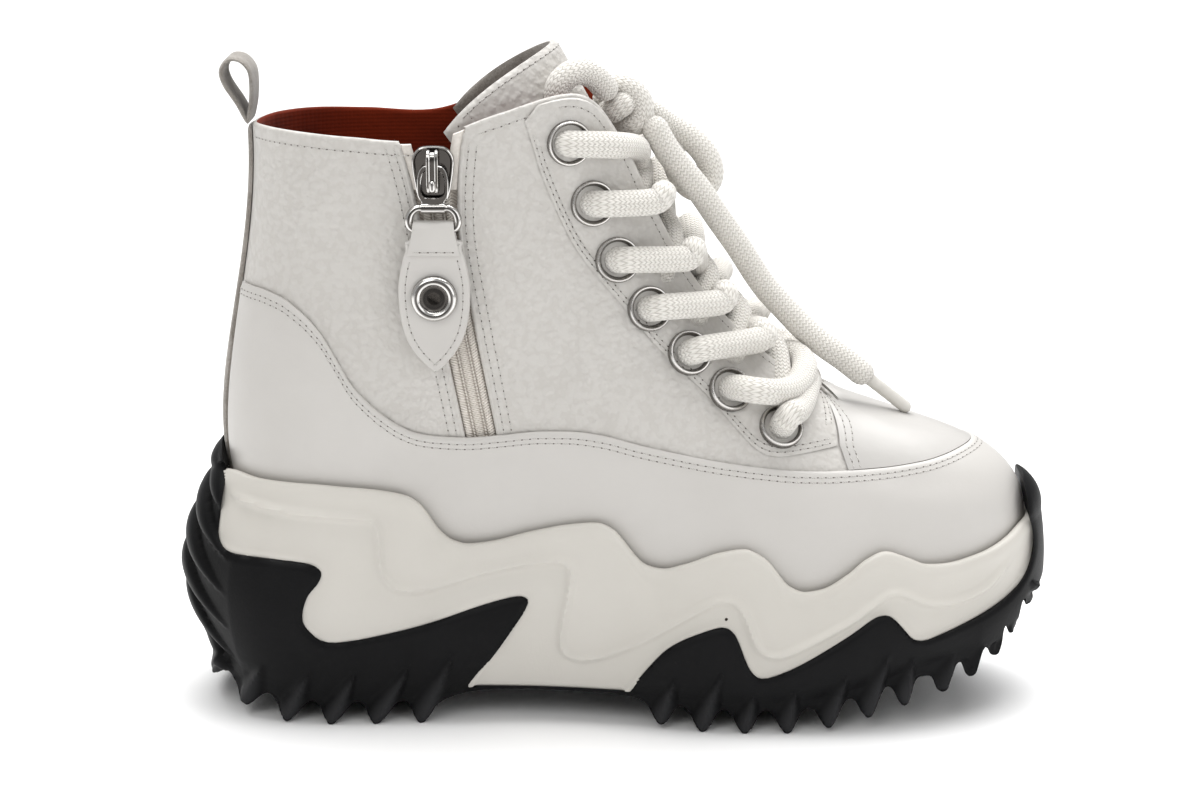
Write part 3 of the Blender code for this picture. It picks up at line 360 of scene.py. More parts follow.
looks = {
    "pebbled": finish("pebbledWhite", pebbledWhite),
    "smooth": finish("smoothWhite", smoothWhite),
    "sleek": finish("sleekWhite", sleekWhite),
    "lining": finish("rustLining", rustLining),
    "suede": finish("rawSuede", rawSuede),
    "foam": finish("creamFoam", creamFoam),
    "rubber": finish("blackRubber", blackRubber),
    "chrome": finish("darkChrome", darkChrome),
    "steel": finish("eyeletSteel", eyeletSteel),
    "hole": finish("holeShadow", holeShadow),
    "tape": finish("beigeTape", beigeTape),
    "coil": finish("coilPlastic", coilPlastic),
    "lace": finish("knitLace", knitLace),
    "tip": finish("tipPlastic", tipPlastic),
    "thread": finish("threadWhite", threadWhite),
    "needle": finish("needleHoleShade", needleHoleShade),
}
setStage()
print("materials and stage ready")

# One row a section, heel to toe: feather line, rib shape, top edge, sole outline.
lastColumns = ("footX", "footZ", "medial", "lateral", "flare", "rise", "highX", "highY", "highZ",
               "topX", "topZ", "topHalf", "soleX", "soleMedial", "soleLateral", "tuck")
lastRows = (
    (-115.0, 60.0, 0.0, 0.0, 20.0, 30.0, 2.0, 0.0, -50.0, -112.2, 183.0, 0.0, -136.2, 0.0, 0.0, 6.0),
    (-110.5, 60.0, 17.0, 17.5, 15.0, 30.0, 1.0, -1.0, -50.0, -107.5, 183.6, 15.5, -129.5, 22.5, 23.0, 6.0),
    (-98.0, 59.5, 26.5, 27.5, 11.0, 30.0, 0.0, -1.5, -48.0, -96.0, 183.5, 27.5, -113.0, 37.0, 38.0, 5.0),
    (-83.0, 58.5, 29.0, 30.5, 10.0, 30.0, -1.0, -2.0, -46.0, -79.0, 182.6, 33.5, -91.0, 41.5, 42.5, 4.0),
    (-68.0, 56.5, 29.0, 31.5, 10.0, 29.0, -4.0, -2.0, -44.0, -57.0, 182.0, 35.0, -69.0, 41.0, 43.0, 4.0),
    (-54.0, 53.5, 28.0, 32.0, 10.0, 28.0, -8.0, -1.0, -42.0, -35.0, 189.5, 34.0, -53.0, 39.5, 43.0, 4.0),
    (-40.0, 50.5, 27.5, 33.0, 10.0, 28.0, -14.0, 3.0, -36.0, -10.5, 195.0, 28.5, -38.0, 39.0, 43.5, 4.0),
    (-24.0, 47.5, 28.5, 35.5, 10.0, 28.0, -18.0, 9.0, -26.0, 2.0, 181.5, 22.0, -20.0, 40.0, 45.5, 4.0),
    (-4.0, 44.5, 31.5, 39.0, 10.0, 28.0, -19.0, 13.0, -20.0, 12.0, 160.5, 20.0, 0.0, 43.0, 48.5, 4.0),
    (18.0, 41.0, 36.0, 42.5, 10.0, 27.0, -17.0, 15.0, -17.0, 24.5, 138.0, 18.0, 20.0, 47.0, 51.5, 4.0),
    (42.0, 37.5, 40.0, 43.0, 9.0, 26.0, -14.0, 18.0, -14.0, 40.0, 119.5, 15.5, 42.0, 50.0, 51.5, 4.0),
    (66.0, 35.5, 39.0, 40.0, 9.0, 26.0, -4.0, 22.0, -11.0, 56.0, 105.5, 13.0, 66.0, 49.0, 48.5, 4.5),
    (90.0, 36.0, 33.5, 33.0, 10.0, 27.0, 16.0, 23.0, -9.0, 66.0, 98.0, 9.5, 92.0, 44.5, 43.0, 5.5),
    (110.5, 38.5, 26.0, 23.0, 11.0, 30.0, 32.0, 18.0, -9.0, 69.5, 95.5, 6.5, 115.0, 33.0, 30.0, 7.0),
    (122.5, 41.0, 14.5, 10.0, 11.0, 33.0, 41.0, 9.0, -9.0, 71.2, 94.3, 3.2, 130.0, 19.0, 14.5, 9.0),
    (127.5, 42.5, 2.5, 2.5, 11.0, 35.0, 44.0, 0.0, -9.0, 71.8, 94.0, 0.0, 136.2, 2.0, 2.0, 10.0),
)
toeY = -2.5
guardLine = (
    (-125.0, 134.6), (-117.0, 134.9), (-109.0, 135.0), (-102.0, 133.7), (-95.5, 129.9), (-89.3, 123.6),
    (-83.3, 113.6), (-80.3, 108.3), (-77.3, 104.6), (-71.3, 99.0), (-65.3, 94.8), (-59.2, 92.3), (-53.0, 91.4),
    (-44.0, 90.9), (-34.7, 91.5), (-22.4, 92.7), (-13.0, 92.9), (-4.0, 92.1), (8.3, 89.2), (20.5, 86.5),
    (32.8, 84.0), (45.0, 82.0), (57.5, 80.5), (70.0, 79.9), (82.6, 79.9), (95.5, 80.4), (102.3, 80.9),
    (108.0, 81.4), (118.0, 82.3),
)
midsoleEdge = (
    (-137.0, 74.0), (-129.5, 77.2), (-122.0, 76.6), (-107.0, 76.6), (-91.0, 75.9), (-79.6, 75.3), (-69.0, 74.1),
    (-64.6, 73.0), (-60.6, 70.6), (-53.0, 61.4), (-49.0, 58.2), (-44.0, 56.8), (-38.0, 57.3), (-20.0, 61.6),
    (-9.0, 64.0), (0.5, 65.1), (5.0, 63.5), (14.5, 52.2), (18.5, 51.3), (25.0, 53.1), (36.0, 57.5),
    (42.5, 58.6),
    (48.0, 55.9), (54.5, 46.8), (59.0, 44.9), (64.0, 45.6), (72.4, 50.0), (79.0, 54.6), (85.0, 56.7),
    (92.0, 54.3), (98.0, 51.8), (104.0, 51.4), (115.0, 52.9), (127.0, 56.2), (131.5, 58.2), (136.5, 60.0),
)
# The underside: lug tips, grooves between them, and the foam's own base.
treadColumns = ("x", "tip", "groove", "base")
treadRows = (
    (-139.0, 13.0, 16.5, 23.0), (-131.0, 8.0, 13.0, 19.0), (-122.0, 5.5, 11.0, 16.0), (-112.0, 2.4, 8.4, 12.5),
    (-101.0, 0.4, 6.6, 10.0), (-91.0, 0.0, 6.2, 9.4), (-50.0, 0.0, 6.2, 9.4), (-42.0, 9.6, 9.6, 10.6),
    (0.0, 9.2, 9.2, 10.4), (12.0, 2.4, 8.0, 11.0), (26.0, 0.0, 6.4, 9.6), (54.0, 0.0, 6.4, 9.6),
    (67.0, 1.4, 8.0, 11.2), (80.0, 4.2, 11.0, 14.2), (92.0, 7.2, 14.2, 17.5), (104.0, 10.4, 17.6, 21.0),
    (114.0, 14.4, 21.6, 25.0), (124.0, 19.0, 26.0, 29.5), (132.0, 23.0, 29.0, 32.5), (139.0, 26.0, 31.0, 34.5),
)
heelRubberEdge = (
    (-127.0, 86.0), (-120.8, 78.0), (-122.6, 65.0), (-123.6, 57.5), (-120.6, 53.4), (-109.0, 53.8),
    (-93.5, 52.8), (-89.6, 50.2), (-90.6, 46.8), (-94.4, 42.6), (-96.2, 37.0), (-96.0, 32.6), (-90.1, 26.8),
    (-78.6, 28.0), (-56.8, 33.0), (-38.1, 39.4), (-28.4, 42.0), (-25.4, 39.8), (-33.6, 27.4), (-44.6, 10.9),
)
foreRubberEdge = (
    (4.6, 10.9), (14.5, 25.2), (20.6, 29.8), (32.3, 34.9), (35.6, 34.6), (38.1, 32.0), (42.0, 20.8),
    (46.0, 17.2), (57.7, 22.6), (72.9, 31.7), (80.5, 37.4), (84.6, 38.0), (87.8, 35.4), (94.0, 27.4),
    (104.6, 30.4), (115.5, 33.8), (122.5, 36.6), (128.0, 40.0), (131.6, 44.2), (133.4, 49.5), (133.4, 54.5),
    (131.8, 60.0), (130.6, 67.5), (129.8, 73.0),
)
leather = {"wall": 2.2, "gap": 0.3, "overlay": 1.2, "fit": 0.5}
foam = {"lip": 2.6}
rubber = {"thick": 2.2, "overUpper": 0.95, "toeTop": 75.0, "heelTop": 87.0}
skinOff = leather["gap"] + leather["overlay"]  # the panels' face over the last
foamOff = skinOff + leather["fit"]  # where foam and rubber sit on the panels


def smoothLine(points):
    # Cubic through (x, z) points that never overshoots; takes and gives arrays.
    xs, zs = np.array(points, float).T
    steps = np.diff(xs)
    rises = np.diff(zs) / steps
    slopes = np.zeros(len(xs))
    slopes[0], slopes[-1] = rises[0], rises[-1]
    for i in range(1, len(xs) - 1):
        if rises[i - 1] * rises[i] > 0:
            slopes[i] = 2 * rises[i - 1] * rises[i] / (rises[i - 1] + rises[i])

    def at(x):
        x = np.asarray(x, float)
        i = np.clip(np.searchsorted(xs, x) - 1, 0, len(steps) - 1)
        f = np.clip((x - xs[i]) / steps[i], 0.0, 1.0)
        bend = steps[i] * ((1 - f) * slopes[i] - f * slopes[i + 1])
        return zs[i] + (zs[i + 1] - zs[i]) * f * f * (3 - 2 * f) + bend * f * (1 - f)

    return at


guardAt = smoothLine(guardLine)
edgeAt = smoothLine(midsoleEdge)
tread = {name: smoothLine([(row[0], row[treadColumns.index(name)]) for row in treadRows])
         for name in treadColumns[1:]}


def closedLoop(rows):
    def section(row, side):
        v = dict(zip(lastColumns, row))
        width = v["medial"] if side < 0 else v["lateral"]
        sole = v["soleMedial"] if side < 0 else v["soleLateral"]
        if row is rows[-1]:
            width, sole, side = -toeY, -toeY, -1.0
        return (v["footX"], side * width, v["footZ"], v["highX"], side * v["highY"], v["highZ"],
                v["topX"], side * v["topHalf"], v["topZ"], v["flare"], v["rise"],
                v["soleX"], side * sole, v["tuck"])

    return np.array([section(row, -1.0) for row in rows] + [section(row, 1.0) for row in rows[-2:0:-1]])


loop = closedLoop(lastRows)
turn = len(loop)
toeRow = len(lastRows) - 1


def lengthsAlong(points):
    return np.concatenate(([0.0], np.cumsum(np.linalg.norm(np.diff(points, axis=0), axis=1))))


def between(a, b, c, d, f):
    # The smooth curve from b to c, with a before them and d after.
    return b + 0.5 * f * (c - a + f * (2 * a - 5 * b + 4 * c - d + f * (3 * (b - c) + d - a)))


def sectionAt(s):
    s = np.asarray(s, float)
    i = np.floor(s).astype(int)
    return between(*(loop[(i + k) % turn] for k in (-1, 0, 1, 2)), (s - i)[..., None])


def smoothPath(points, count):
    # An open smooth line through the points.
    knots = np.array(points, float)
    knots = np.concatenate(([2 * knots[0] - knots[1]], knots, [2 * knots[-1] - knots[-2]]))
    place = np.linspace(0, len(points) - 1, count + 1)
    i = np.minimum(place.astype(int), len(points) - 2)
    return between(*(knots[i + k] for k in range(4)), (place - i)[:, None])


def roundOutline(points, steps=8):
    # A closed smooth outline through the points.
    knots = np.asarray(points, float)
    count = len(knots)
    return np.array([between(*(knots[(i + k) % count] for k in (-1, 0, 1, 2)), f)
                     for i in range(count) for f in np.linspace(0, 1, steps + 1)[:-1]])


def unitOf(v):
    return v / np.maximum(np.linalg.norm(v, axis=-1, keepdims=True), 1e-9)


def outward(s, first):
    step = sectionAt(np.asarray(s) + 0.05) - sectionAt(np.asarray(s) - 0.05)
    dx, dy = step[..., first], step[..., first + 1]
    return unitOf(np.stack((dy, -dx, np.zeros_like(dx)), -1))


def ribPoint(s, t):
    # t runs up the rib at s, from the feather line to the top edge.
    s, t = np.broadcast_arrays(np.asarray(s, float), np.asarray(t, float))
    row = sectionAt(s)
    foot, high, top = row[..., 0:3], row[..., 3:6], row[..., 6:9]
    low = foot + outward(s, 0) * row[..., 9:10]
    low[..., 2] += row[..., 10]
    t = t[..., None]
    u = 1 - t
    return u**3 * foot + 3 * u * u * t * low + 3 * u * t * t * (top + high) + t**3 * top


def ribNormal(s, t):
    around = ribPoint(s + 0.04, t) - ribPoint(s - 0.04, t)
    up = ribPoint(s, np.minimum(t + 0.01, 1.0)) - ribPoint(s, np.maximum(t - 0.01, 0.0))
    return unitOf(np.cross(around, up))


def offRib(s, t, distance):
    distance = np.asarray(distance, float)
    return ribPoint(s, t) + ribNormal(s, t) * distance[..., None]


def solveFor(function, low, high, shape):
    low, high = np.full(shape, float(low)), np.full(shape, float(high))
    rising = function(high) > function(low)
    for _ in range(26):
        middle = 0.5 * (low + high)
        up = (function(middle) > 0) == rising
        high, low = np.where(up, middle, high), np.where(up, low, middle)
    return 0.5 * (low + high)


def tAtHeight(s, z):
    s, z = np.broadcast_arrays(np.asarray(s, float), np.asarray(z, float))
    return solveFor(lambda t: ribPoint(s, t)[..., 2] - z, 0.0, 1.0, s.shape)


def guardT(s):
    s = np.asarray(s, float)

    def beyond(t):
        p = ribPoint(s, t)
        return p[..., 2] - guardAt(p[..., 0])

    return solveFor(beyond, 0.1, 0.97, s.shape)


def sideSpot(x, z, side):
    # Where on the upper the point seen at (x, z) from one side lies, as (s, t).
    x, z = np.broadcast_arrays(np.asarray(x, float), np.asarray(z, float))
    flip = (lambda s: s) if side < 0 else (lambda s: turn - s)
    s = solveFor(lambda s: ribPoint(flip(s), tAtHeight(flip(s), z))[..., 0] - x, 0.3, toeRow - 0.3, x.shape)
    s = flip(s)
    return s, tAtHeight(s, z)


# Each fold: middle (x, z) on the side, half length, half width, turn in degrees, depth (down is negative).
creaseRows = (
    (-10.0, 128.0, 34.0, 5.0, 62.0, -0.55),
    (2.0, 112.0, 30.0, 5.0, 48.0, -0.50),
    (-18.0, 150.0, 26.0, 5.5, 70.0, 0.40),
    (-84.0, 150.0, 24.0, 7.0, 80.0, -0.45),
    (-72.0, 128.0, 22.0, 5.0, 25.0, -0.45),
    (-92.0, 112.0, 20.0, 6.0, 35.0, 0.35),
    (-15.0, 104.0, 26.0, 4.5, 12.0, 0.40),
    (30.0, 96.0, 22.0, 4.0, 35.0, -0.45),
    (98.0, 74.0, 18.0, 3.2, 4.0, -0.50),
    (88.0, 72.0, 16.0, 3.2, -8.0, 0.35),
    (60.0, 68.0, 20.0, 4.0, 14.0, -0.35),
    (-60.0, 86.0, 24.0, 4.0, -10.0, -0.30),
)


def creaseAt(points):
    total = np.zeros(points.shape[:-1])
    for x, z, length, width, angle, depth in creaseRows:
        c, q = math.cos(math.radians(angle)), math.sin(math.radians(angle))
        dx, dz = points[..., 0] - x, points[..., 2] - z
        u, v = dx * c + dz * q, dz * c - dx * q
        bend = v + 0.012 * u * u * (1 if depth < 0 else -1)
        total += depth * np.exp(-(u / length) ** 2 * 1.6 - (bend / width) ** 2)
    return total


def skinPoint(s, t, distance):
    # The upper's face with its soft folds, this far off it.
    base = ribPoint(s, t)
    return base + ribNormal(s, t) * (np.asarray(distance, float) + creaseAt(base))[..., None]


def meshPiece(name, points, faces, look, marks=None, uvs=None, smooth=True):
    mesh = bpy.data.meshes.new(name)
    points = np.asarray(points, float).reshape(-1, 3) * unit
    mesh.from_pydata(points.tolist(), [], faces)
    mesh.validate()
    for one in look if isinstance(look, (list, tuple)) else [look]:
        mesh.materials.append(looks[one])
    for key, values in (marks or {}).items():
        layer = mesh.attributes.new(key, "FLOAT", "POINT")
        layer.data.foreach_set("value", np.asarray(values, np.float32).ravel())
    if uvs is not None:
        layer = mesh.uv_layers.new(name="run")
        corners = np.zeros(len(mesh.loops), int)
        mesh.loops.foreach_get("vertex_index", corners)
        layer.data.foreach_set("uv", np.asarray(uvs, np.float32).reshape(-1, 2)[corners].ravel())
    mesh.shade_smooth() if smooth else mesh.shade_flat()
    made = bpy.data.objects.new(name, mesh)
    bpy.context.scene.collection.objects.link(made)
    return made


def gridFaces(rows, columns, closed=False, first=0):
    faces = []
    for r in range(rows - 1):
        for c in range(columns if closed else columns - 1):
            a, b = first + r * columns + c, first + r * columns + (c + 1) % columns
            faces.append((a, b, b + columns, a + columns))
    return faces


def leafFaces(rows, columns):
    # Two sheets of a grid, front then back, joined round their border.
    count = rows * columns
    faces = gridFaces(rows, columns) + [face[::-1] for face in gridFaces(rows, columns, first=count)]
    spots = [(0, c) for c in range(columns)] + [(r, columns - 1) for r in range(1, rows)]
    spots += [(rows - 1, c) for c in range(columns - 2, -1, -1)] + [(r, 0) for r in range(rows - 2, 0, -1)]
    border = [r * columns + c for r, c in spots]
    return faces + [(b, a, a + count, b + count) for a, b in zip(border, border[1:] + border[:1])]


def mend(obj, near=0.0, split=None):
    # Merges doubles, splits faces into triangles where asked, and turns every face outwards.
    work = bmesh.new()
    work.from_mesh(obj.data)
    if near:
        bmesh.ops.remove_doubles(work, verts=work.verts, dist=near)
    if split is not None:
        bmesh.ops.triangulate(work, faces=[face for face in work.faces if len(face.verts) > split])
    bmesh.ops.recalc_face_normals(work, faces=work.faces)
    work.to_mesh(obj.data)
    work.free()
    return obj


def applyAll(obj):
    # Turns the object with its modifiers into a plain mesh.
    graph = bpy.context.evaluated_depsgraph_get()
    mesh = bpy.data.meshes.new_from_object(obj.evaluated_get(graph))
    obj.modifiers.clear()
    old = obj.data
    obj.data = mesh
    mesh.name = obj.name
    bpy.data.meshes.remove(old)
    return obj


def finishPiece(obj, body="boot", stands=(), sharp=None):
    if sharp:
        obj.data.set_sharp_from_angle(angle=math.radians(sharp))
    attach(obj, body)
    if stands:
        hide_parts(*stands)
    return obj


def markRims(obj, way):
    # How far each corner leans away from a direction, kept for a painted reflection: the metal's colour is dark
    # on its face and bright round its edges.
    mesh = obj.data
    normals = np.zeros(3 * len(mesh.loops), np.float32)
    mesh.corner_normals.foreach_get("vector", normals)
    lean = 1 - np.abs(normals.reshape(-1, 3) @ np.asarray(way, float))
    mesh.attributes.new("rim", "FLOAT", "CORNER").data.foreach_set("value", lean.astype(np.float32))
    return obj


def cut(obj, cutter, operation="DIFFERENCE", solver="MANIFOLD"):
    modifier = obj.modifiers.new("cut", "BOOLEAN")
    modifier.operation, modifier.object, modifier.solver = operation, cutter, solver
    applyAll(obj)
    bpy.data.objects.remove(cutter)
    return obj


def ringShell(name, outer, inner, look, rim=4):
    # A wall that closes around itself: rows go up, columns go round; the top and bottom borders are rounded.
    def border(o, i, next_):
        middle, thick = 0.5 * (o + i), np.linalg.norm(o - i, axis=-1, keepdims=True)
        bulge = unitOf(o - next_)
        return [middle + (o - middle) * math.cos(a) + bulge * thick * 0.5 * math.sin(a)
                for a in (math.pi * k / (rim + 1) for k in range(1, rim + 1))]

    columns = outer.shape[1]
    rings = list(outer) + border(outer[-1], inner[-1], outer[-2]) + list(inner[::-1])
    rings += border(inner[0], outer[0], inner[1])
    count = len(rings) * columns
    faces = [tuple(v % count for v in face) for face in gridFaces(len(rings) + 1, columns, True)]
    made = meshPiece(name, np.array(rings), faces, look)
    if len(made.data.materials) > 1:
        switch = (len(outer) + rim // 2) * columns
        parts = [1 if i >= switch else 0 for i in range(len(faces))]
        made.data.polygons.foreach_set("material_index", parts)
    return made


def overlaySheet(name, s, t, look, high=None, edge=(True, True, True, True)):
    # A leather panel over the grid s by t (arrays, rows by columns) with its cut edges eased.
    low, high = leather["gap"], skinOff if high is None else high
    rows, columns = s.shape
    drop = np.zeros(s.shape)
    for r, on in ((0, edge[0]), (rows - 1, edge[1])):
        if on:
            drop[r, :] = 0.45
    for c, on in ((0, edge[2]), (columns - 1, edge[3])):
        if on:
            drop[:, c] = 0.45
    thick = high - low
    outer = skinPoint(s, t, high - drop * thick)
    inner = skinPoint(s, t, np.full(s.shape, low))
    return meshPiece(name, np.concatenate((outer, inner)), leafFaces(rows, columns), look)


def scatterTree(title):
    # Spreads one rounded bead over points that carry their own turn, then makes it plain mesh.
    tree = bpy.data.node_groups.new(title, "GeometryNodeTree")
    tree.interface.new_socket("Geometry", in_out="INPUT", socket_type="NodeSocketGeometry")
    for label in ("Long", "Wide", "High"):
        tree.interface.new_socket(label, in_out="INPUT", socket_type="NodeSocketFloat")
    tree.interface.new_socket("Look", in_out="INPUT", socket_type="NodeSocketMaterial")
    tree.interface.new_socket("Geometry", in_out="OUTPUT", socket_type="NodeSocketGeometry")
    nodes, links = tree.nodes, tree.links
    given, ready = nodes.new("NodeGroupInput"), nodes.new("NodeGroupOutput")
    bead = nodes.new("GeometryNodeMeshUVSphere")
    bead.inputs["Segments"].default_value, bead.inputs["Rings"].default_value = 8, 5
    bead.inputs["Radius"].default_value = 0.5
    size, spin = nodes.new("ShaderNodeCombineXYZ"), nodes.new("GeometryNodeInputNamedAttribute")
    spin.data_type = "FLOAT_VECTOR"
    spin.inputs["Name"].default_value = "spin"
    spread, real = nodes.new("GeometryNodeInstanceOnPoints"), nodes.new("GeometryNodeRealizeInstances")
    soft, paint = nodes.new("GeometryNodeSetShadeSmooth"), nodes.new("GeometryNodeSetMaterial")
    for k, label in enumerate(("Long", "Wide", "High")):
        links.new(given.outputs[label], size.inputs[k])
    links.new(given.outputs["Geometry"], spread.inputs["Points"])
    links.new(bead.outputs["Mesh"], spread.inputs["Instance"])
    links.new(spin.outputs["Attribute"], spread.inputs["Rotation"])
    links.new(size.outputs[0], spread.inputs["Scale"])
    links.new(spread.outputs[0], real.inputs[0])
    links.new(real.outputs[0], soft.inputs[0])
    links.new(soft.outputs[0], paint.inputs["Geometry"])
    links.new(given.outputs["Look"], paint.inputs["Material"])
    links.new(paint.outputs[0], ready.inputs[0])
    return tree


beadTree = scatterTree("beadSpread")
stitch = {"pitch": 2.5, "long": 1.85, "wide": 0.46, "high": 0.34, "sunk": 0.0, "hole": 0.42}


def turnsOf(alongs, ups):
    alongs = unitOf(alongs)
    ups = unitOf(ups - alongs * np.sum(ups * alongs, -1, keepdims=True))
    sides = np.cross(ups, alongs)
    return [Matrix((a, b, c)).transposed().to_euler() for a, b, c in zip(alongs, sides, ups)]


def scatter(name, points, alongs, ups, size, look):
    mesh = bpy.data.meshes.new(name)
    mesh.from_pydata((np.asarray(points) * unit).tolist(), [], [])
    layer = mesh.attributes.new("spin", "FLOAT_VECTOR", "POINT")
    layer.data.foreach_set("vector", np.array([e[:] for e in turnsOf(alongs, ups)], np.float32).ravel())
    made = bpy.data.objects.new(name, mesh)
    bpy.context.scene.collection.objects.link(made)
    spread = made.modifiers.new("spread", "NODES")
    spread.node_group = beadTree
    named = {item.name: item.identifier for item in beadTree.interface.items_tree if item.in_out == "INPUT"}
    for label, value in zip(("Long", "Wide", "High"), size):
        spread[named[label]] = value * unit
    spread[named["Look"]] = looks[look]
    return applyAll(made)


def evenSteps(points, ups, pitch, shift=0.0):
    # Points at even steps along a line, with the line's direction and the given up vectors.
    points, ups = np.asarray(points, float), np.asarray(ups, float)
    lengths = lengthsAlong(points)
    at = np.arange(shift * pitch, lengths[-1], pitch)

    def pick(values, where):
        return np.stack([np.interp(where, lengths, values[:, k]) for k in range(3)], -1)

    return pick(points, at), pick(points, at + 0.4) - pick(points, at - 0.4), pick(ups, at)


def joined(name, pieces):
    work = bmesh.new()
    looksUsed = []
    for piece in pieces:
        start = len(work.faces)
        work.from_mesh(piece.data)
        work.faces.ensure_lookup_table()
        shift = []
        for one in piece.data.materials:
            if one not in looksUsed:
                looksUsed.append(one)
            shift.append(looksUsed.index(one))
        for face in work.faces[start:]:
            face.material_index = shift[face.material_index] if shift else 0
    mesh = bpy.data.meshes.new(name)
    work.to_mesh(mesh)
    work.free()
    for one in looksUsed:
        mesh.materials.append(one)
    for piece in pieces:
        old = piece.data
        bpy.data.objects.remove(piece)
        bpy.data.meshes.remove(old)
    made = bpy.data.objects.new(name, mesh)
    bpy.context.scene.collection.objects.link(made)
    return made


def sewn(name, runs, body="boot"):
    # Stitches, and dark dots of painted shade for the needle holes between them, along each run of (points,
    # normals).
    beads, holes = [], []
    for points, ups in runs:
        at, way, up = evenSteps(points, ups, stitch["pitch"], 0.5)
        beads.append((at + unitOf(up) * stitch["sunk"], way, up))
        at, way, up = evenSteps(points, ups, stitch["pitch"], 1.0)
        holes.append((at + unitOf(up) * 0.01, way, up))
    beads, holes = ([np.concatenate([one[k] for one in sets]) for k in range(3)] for sets in (beads, holes))
    thread = (stitch["long"], stitch["wide"], stitch["high"])
    threads = scatter(name + "Beads", *beads, thread, "thread")
    dots = scatter(name + "Holes", *holes, (stitch["hole"] * 1.7, stitch["hole"], 0.12), "needle")
    return finishPiece(joined(name, [threads, dots]), body, ())


def downT(s, t, reach):
    # t moved down the rib by a length.
    step = np.linalg.norm(ribPoint(s, np.minimum(t + 0.005, 1.0)) - ribPoint(s, t - 0.005), axis=-1)
    return t - reach * (0.005 + np.minimum(0.005, 1.0 - t)) / np.maximum(step, 1e-6)


def skinRun(s, t, distance):
    return skinPoint(s, t, np.full(np.shape(s), float(distance))), ribNormal(s, t)


shell = {"around": 300, "up": 84}
zipLine = smoothLine([(86.0, -39.8), (94.6, -41.3), (128.0, -47.6), (154.0, -52.0), (180.5, -54.6)])
zipHalf = smoothLine([(86.0, 5.2), (94.0, 5.3), (150.0, 5.6), (166.0, 6.8), (187.0, 10.5)])
zipFoot, zipTop = 89.6, 187.0


def sidePrism(name, outline, low, high):
    count = len(outline)
    points = [(x, low, z) for x, z in outline] + [(x, high, z) for x, z in outline]
    faces = [tuple(range(count))[::-1], tuple(range(count, 2 * count))]
    faces += [(i, (i + 1) % count, count + (i + 1) % count, count + i) for i in range(count)]
    return mend(meshPiece(name, points, faces, "hole", smooth=False), split=3)


def makeUpper():
    s, t = np.meshgrid(np.linspace(0, turn, shell["around"], endpoint=False),
                       1 - (1 - np.linspace(0, 1, shell["up"])) ** 1.15)
    outer = skinPoint(s, t, np.zeros(s.shape))
    inner = skinPoint(s, t, np.full(s.shape, -leather["wall"]))
    made = ringShell("upperShell", outer, inner, ("pebbled", "lining"))
    heights = np.linspace(zipFoot, zipTop, 40)
    left = np.stack((zipLine(heights) - zipHalf(heights), heights), -1)
    right = np.stack((zipLine(heights) + zipHalf(heights), heights), -1)[::-1]
    cut(made, sidePrism("zipSlot", np.concatenate((left, right)).tolist(), -70.0, -12.0))
    cut(made, holePunches())
    made.data.shade_smooth()
    return finishPiece(made, "boot", ["upper"], sharp=40)


mudguard = {"start": 0.53, "around": 520, "rows": (2.1, 3.7)}


def makeMudguard():
    s = np.linspace(mudguard["start"], turn - mudguard["start"], mudguard["around"])
    top = guardT(s)
    shares = np.concatenate(([0.0], np.linspace(0.02, 0.93, 26), [0.965, 0.985, 1.0]))
    t = top[None, :] * shares[:, None]
    finishPiece(overlaySheet("mudguardPanel", np.broadcast_to(s, t.shape), t, "smooth"),
                "boot", ["mudguard"], sharp=50)
    sewn("mudguardStitches", [skinRun(s, downT(s, top, reach), skinOff) for reach in mudguard["rows"]])


# The eyestay's back seam from the collar to the vamp: (x, z), and the station of the top edge across from it.
staySeam = (
    (-27.2, 190.6, 5.38), (-24.2, 181.0, 5.85), (-20.5, 169.2, 6.35), (-11.5, 149.3, 7.25), (2.1, 132.3, 8.1),
    (14.4, 117.6, 8.9), (29.8, 102.5, 9.8), (40.0, 91.2, 10.45), (45.2, 86.6, 10.8), (50.5, 85.0, 11.1),
    (58.0, 85.4, 11.45), (69.5, 86.8, 11.85),
)
vampEdge = ((64.8, 101.2, 11.85), (69.0, 92.2), (69.8, 86.4), (72.3, 79.4))
vamp = {"high": 1.15, "gap": 0.5, "rows": (1.7, 3.7)}
stay = {"thin": 0.55, "rows": (1.3, 2.9), "wide": 27.0, "ends": (0.012, 0.026)}


def stayGrid(side, u, v):
    # Spots of the eyestay: u runs along its back seam, v from the seam to the top edge.
    table = np.array(staySeam)
    runs = np.concatenate(([0.0], np.cumsum(np.hypot(*np.diff(table[:, :2], axis=0).T))))
    fine = smoothPath(table, 10 * (len(table) - 1))
    lengths = np.interp(np.linspace(0, len(table) - 1, len(fine)), np.arange(len(table)), runs)
    x, z, tops = (np.interp(u * runs[-1], lengths, fine[:, k]) for k in range(3))
    s, t = sideSpot(x, z, side)
    tops = tops if side < 0 else turn - tops
    return s + (tops - s) * v, t + (1 - t) * v


def stayRow(side, u, reach):
    # A line this far inside the eyestay's back seam.
    s0, t0 = stayGrid(side, u, np.zeros(u.shape))
    s1, t1 = stayGrid(side, u, np.full(u.shape, 0.1))
    width = np.linalg.norm(ribPoint(s1, t1) - ribPoint(s0, t0), axis=-1) * 10
    return stayGrid(side, u, reach / np.maximum(width, reach + 0.5))


def stayRise(v):
    # The eyestay's face over the skin: thin along its back seam, full under the eyelets.
    share = np.clip(v / 0.34, 0.0, 1.0)
    return stay["thin"] + (skinOff - stay["thin"]) * share * share * (3 - 2 * share)


